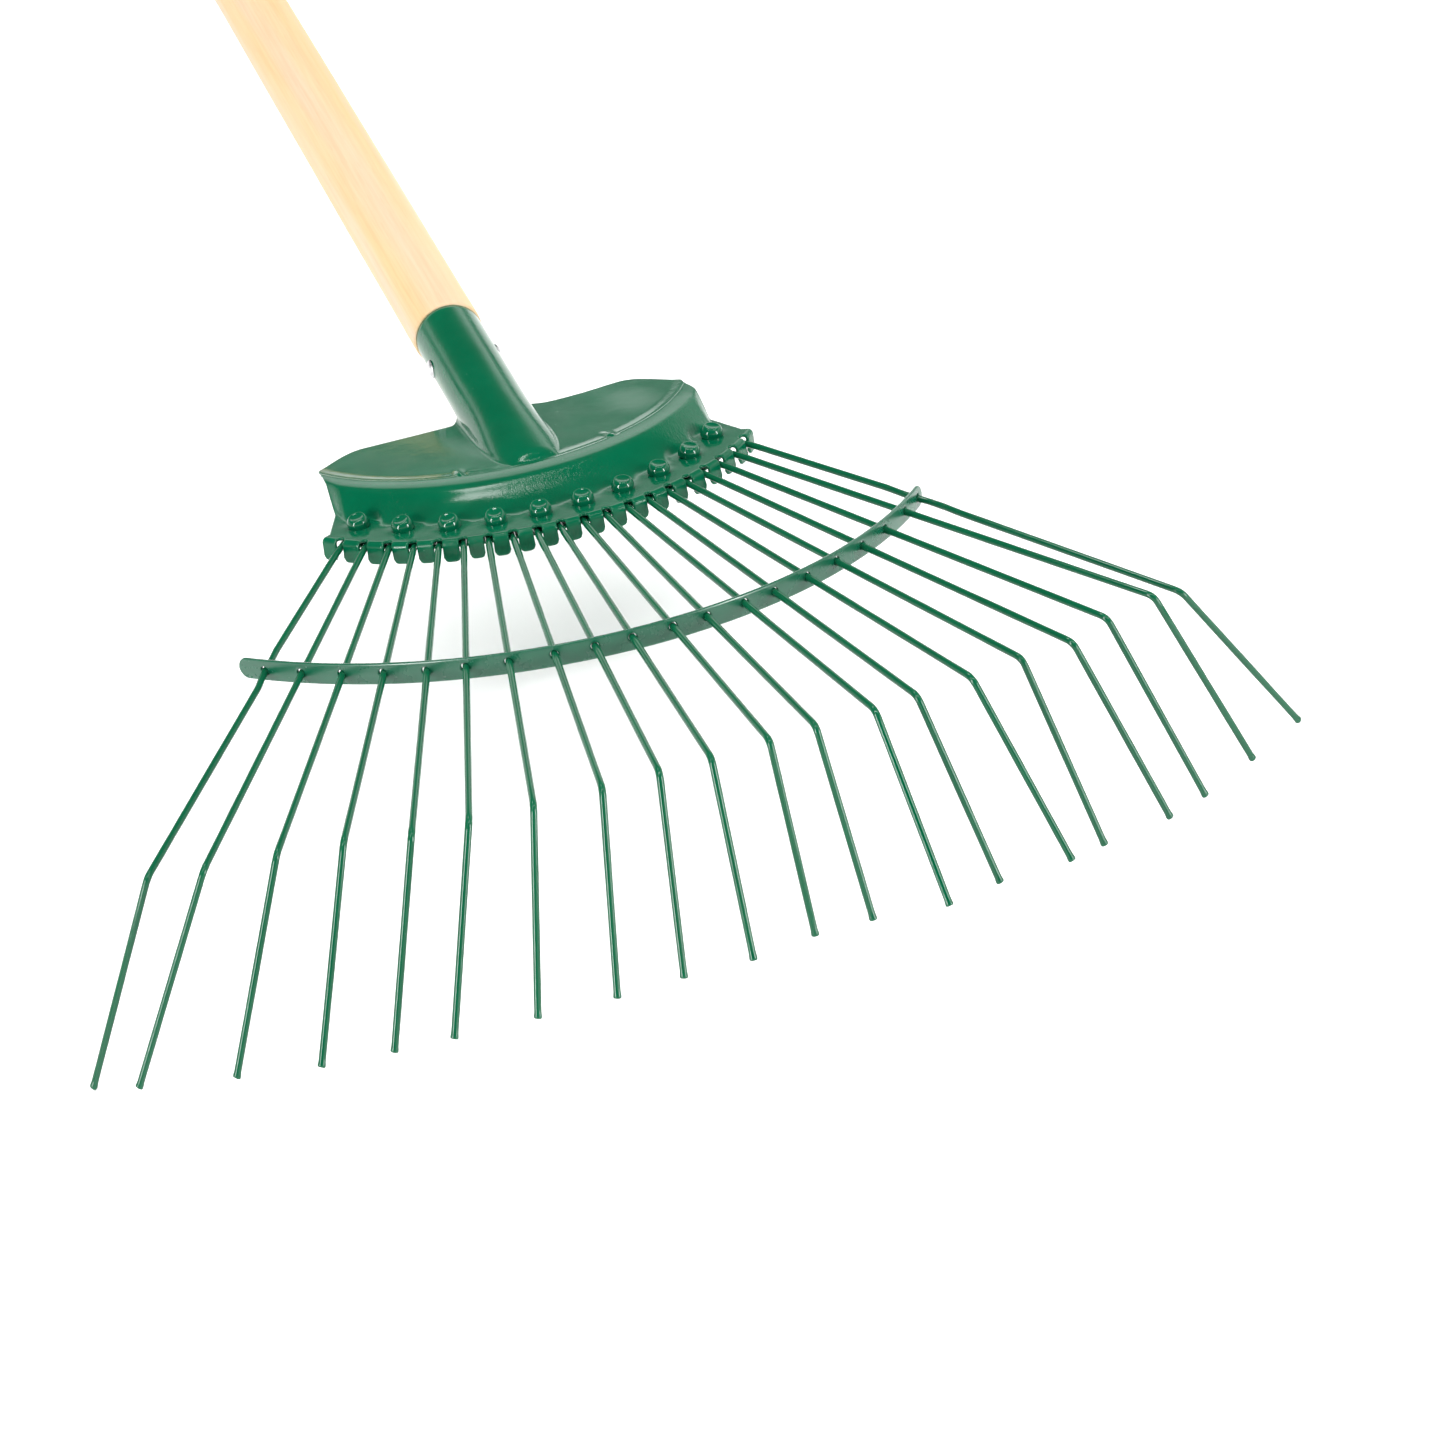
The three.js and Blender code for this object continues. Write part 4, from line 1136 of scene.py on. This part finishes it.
def wood(name):
    """Pale softwood: growth rings, broad warmer and pinker bands, fibres, streaks and pores."""
    material, tree, shader = new_material(name)
    place = node(tree, "TexCoord").outputs["Object"]
    drift_inputs = {"Vector": stretched(tree, place, (1, 1, 0.12)), "Scale": 34.0, "Detail": 2.0}
    drift = node(tree, "TexNoise", drift_inputs).outputs["Color"]
    drift = node(tree, "VectorMath", {0: drift, "Scale": 0.012}, operation="SCALE").outputs[0]
    bent = node(tree, "VectorMath", {0: place, 1: drift}).outputs[0]
    ring_inputs = {"Vector": stretched(tree, bent, (1, 1, 0.035), rotation=(0.02, 0.05, 0.5)),
                   "Scale": 95.0, "Distortion": 3.0, "Detail": 2.0, "Detail Scale": 1.2}
    rings = node(tree, "TexWave", ring_inputs, wave_type="BANDS", bands_direction="X").outputs["Fac"]
    rings = ramp(tree, rings, [(0.0, (0.475, 0.34, 0.192)), (0.5, (0.495, 0.362, 0.21)),
                               (1.0, (0.505, 0.375, 0.226))])
    band = noise(tree, stretched(tree, place, (1, 1, 0.05), location=(0.02, 0.05, 0.0)), 60.0, 2.0)
    band = ramp(tree, band, [(0.38, (0.53, 0.335, 0.150)), (0.50, (0.51, 0.372, 0.215)),
                             (0.62, (0.505, 0.375, 0.275))])
    color = mix_color(tree, 0.7, rings, band)
    fibre = noise(tree, stretched(tree, place, (1, 1, 0.03)), 900.0, 4.0, 0.65)
    fibre_shade = ramp(tree, fibre, [(0.3, (0.86, 0.80, 0.72)), (0.62, WHITE)])
    color = mix_color(tree, 0.62, color, fibre_shade, "MULTIPLY")
    streak = noise(tree, stretched(tree, place, (1, 1, 0.018), location=(0.3, 0.1, 0.0)), 240.0, 3.0)
    streak = ramp(tree, streak, [(0.56, BLACK), (0.72, WHITE)])
    color = mix_color(tree, times(tree, streak, 0.55), color, (0.50, 0.325, 0.20))
    pore_inputs = {"Vector": stretched(tree, place, (1, 1, 0.07)), "Scale": 700.0}
    pores = node(tree, "TexVoronoi", pore_inputs).outputs["Distance"]
    pores = ramp(tree, pores, [(0.08, WHITE), (0.2, BLACK)])
    color = mix_color(tree, times(tree, pores, 0.22), color, (0.42, 0.27, 0.14))
    height = calculate(tree, "SUBTRACT", times(tree, fibre, 0.8), times(tree, pores, 0.6))
    finish_shader(tree, shader, color, from_range(tree, fibre, 0, 1, 0.42, 0.62), height, 0.00006)
    shader.inputs["IOR"].default_value = 1.45
    return material


def steel(name):
    """Bare mottled steel."""
    material, tree, shader = new_material(name)
    mottle = noise(tree, node(tree, "TexCoord").outputs["Object"], 480.0, 4.0)
    color = ramp(tree, mottle, [(0.35, (0.44, 0.44, 0.45)), (0.65, (0.66, 0.66, 0.67))])
    finish_shader(tree, shader, color, from_range(tree, mottle, 0, 1, 0.22, 0.5), mottle, 0.00008)
    shader.inputs["Metallic"].default_value = 1.0
    return material


HEAD_GREEN = [(0.0002, 0.064, 0.028), (0.0003, 0.076, 0.034)]
BAR_GREEN = [(0.0004, 0.060, 0.028), (0.0006, 0.070, 0.034)]
WIRE_GREEN = [(0.0002, 0.057, 0.023), (0.0004, 0.068, 0.028)]
head_paint = paint("head_paint", *HEAD_GREEN, rough=(0.09, 0.16), scuffs=8.0)
rivet_paint = paint("rivet_paint", *HEAD_GREEN, rough=(0.05, 0.10), index=1.42)
bar_paint = paint("bar_paint", *BAR_GREEN, rough=(0.24, 0.30), index=1.58)
wire_paint = paint("wire_paint", *WIRE_GREEN, rough=(0.05, 0.11), index=1.42, peel=0.000012, specks=0.3)

# ---- pieces ----

piece("head_plate_sheet", head_plate(), head_paint, "head_plate")
piece("clamp_strip", clamp_plate(), head_paint, "clamp_plate")
piece("spacer_strip", spacer_bar(), bar_paint, "spacer_bar")
for pair in range(TINES // 2):
    label = f"{pair + 1:02d}"
    piece(f"hairpin_{label}", hairpin(pair), wire_paint, f"tine_pair_{label}")
    piece(f"rivet_head_{label}", rivet(pair), rivet_paint, f"rivet_{label}")

# The turned pieces are made about their own axis and then laid along it.
def on_axis(s, turned):
    return Matrix.Translation(Vector(to_frame(socket_point(s)))) @ turned


handle_axis = turn @ along_socket
handle_place = on_axis(0, Matrix.Rotation(math.atan2(-handle_axis[1], handle_axis[2]), 4, "X"))
pin_place = on_axis(CROSS_PIN_S, Matrix.Rotation(math.pi / 2, 4, "Y"))
piece("wooden_handle", handle(), wood("pale_wood"), "handle", handle_place)
piece("cross_pin_rivet", cross_pin(), steel("bare_steel"), "cross_pin", pin_place)

# ---- floor ----

FLOOR_HALF = 9
FLOOR_Z = -0.0006

corners = [(x * FLOOR_HALF, y * FLOOR_HALF, FLOOR_Z) for x, y in ((-1, -1), (1, -1), (1, 1), (-1, 1))]
floor_mesh = bpy.data.meshes.new("floor")
floor_mesh.from_pydata(corners, [], [(0, 1, 2, 3)])
floor = bpy.data.objects.new("floor", floor_mesh)
bpy.context.scene.collection.objects.link(floor)
floor_look, floor_tree, floor_shader = new_material("pale_floor")
floor_shader.inputs["Base Color"].default_value = (0.86, 0.86, 0.86, 1)
floor_shader.inputs["Roughness"].default_value = 0.9
floor_shader.inputs["Specular IOR Level"].default_value = 0.1
floor_mesh.materials.append(floor_look)

# ---- light: a studio that is brightest a little above the horizon, with soft lamps ----

SKY_STRENGTH = 2.2
# Brightness of the surroundings by height, from the horizon (0) to straight up (1).
SKY_GREYS = [(0.0, 0.14), (0.07, 0.18), (0.16, 1.0), (0.24, 0.7), (0.34, 0.11), (0.5, 0.022), (1.0, 0.01)]
SKY_SIDE_SHARE = -0.5

world = bpy.data.worlds.new("studio")
bpy.context.scene.world = world
world.use_nodes = True
sky_tree = world.node_tree
sky_tree.nodes.clear()
sky = node(sky_tree, "Background", {"Strength": SKY_STRENGTH})
node(sky_tree, "OutputWorld", {"Surface": sky.outputs[0]})
direction = node(sky_tree, "SeparateXYZ", {0: node(sky_tree, "TexCoord").outputs["Generated"]})
sky_side = plus(sky_tree, times(sky_tree, direction.outputs["X"], SKY_SIDE_SHARE), 1.0)
sky_height = times(sky_tree, direction.outputs["Z"], sky_side)
sky_color = ramp(sky_tree, sky_height, [(height, (grey, grey, grey)) for height, grey in SKY_GREYS])
sky_tree.links.new(sky_color, sky.inputs["Color"])


def softbox(name, at, toward, size, power, in_reflections):
    data = bpy.data.lights.new(name, "AREA")
    data.shape = "RECTANGLE"
    data.size, data.size_y = size
    data.energy = power
    lamp = bpy.data.objects.new(name, data)
    bpy.context.scene.collection.objects.link(lamp)
    lamp.location = at
    lamp.rotation_euler = (Vector(toward) - Vector(at)).to_track_quat("-Z", "Y").to_euler()
    lamp.visible_glossy = in_reflections


softbox("top_fill", (0.0, -0.8, 3.2), (0, -0.8, 0), (9.0, 9.0), 165, False)
softbox("back_key", (0.3, 2.4, 2.8), (0, -0.5, 0), (5.0, 3.5), 175, False)
softbox("left_strip", (-2.0, -1.6, 0.75), (0, -0.5, 0.1), (0.35, 1.3), 50, True)
softbox("right_strip", (1.5, -2.2, 0.75), (0, -0.5, 0.1), (0.35, 1.3), 44, True)
softbox("front_line", (0.0, -1.25, 2.3), (0, -0.7, 0.1), (3.6, 0.08), 30, True)
softbox("back_glint", (-0.12, 0.02, 1.75), (0, -0.6, 0), (0.50, 0.26), 8, True)

# ---- camera, at the photograph's viewing angle ----

CAMERA_AT = (-0.29201, -1.78846, 0.92069)
CAMERA_TURN = (51.4873, 3.8874, -19.4354)

camera_data = bpy.data.cameras.new("camera")
camera_data.lens = 101.27
camera_data.sensor_width = 36
camera_data.clip_start = 0.01
camera_data.clip_end = 50
camera = bpy.data.objects.new("camera", camera_data)
bpy.context.scene.collection.objects.link(camera)
camera_turn = Euler([math.radians(angle) for angle in CAMERA_TURN])
camera.matrix_world = Matrix.LocRotScale(Vector(CAMERA_AT), camera_turn, None)
bpy.context.scene.camera = camera
bpy.context.scene.view_settings.view_transform = "Standard"
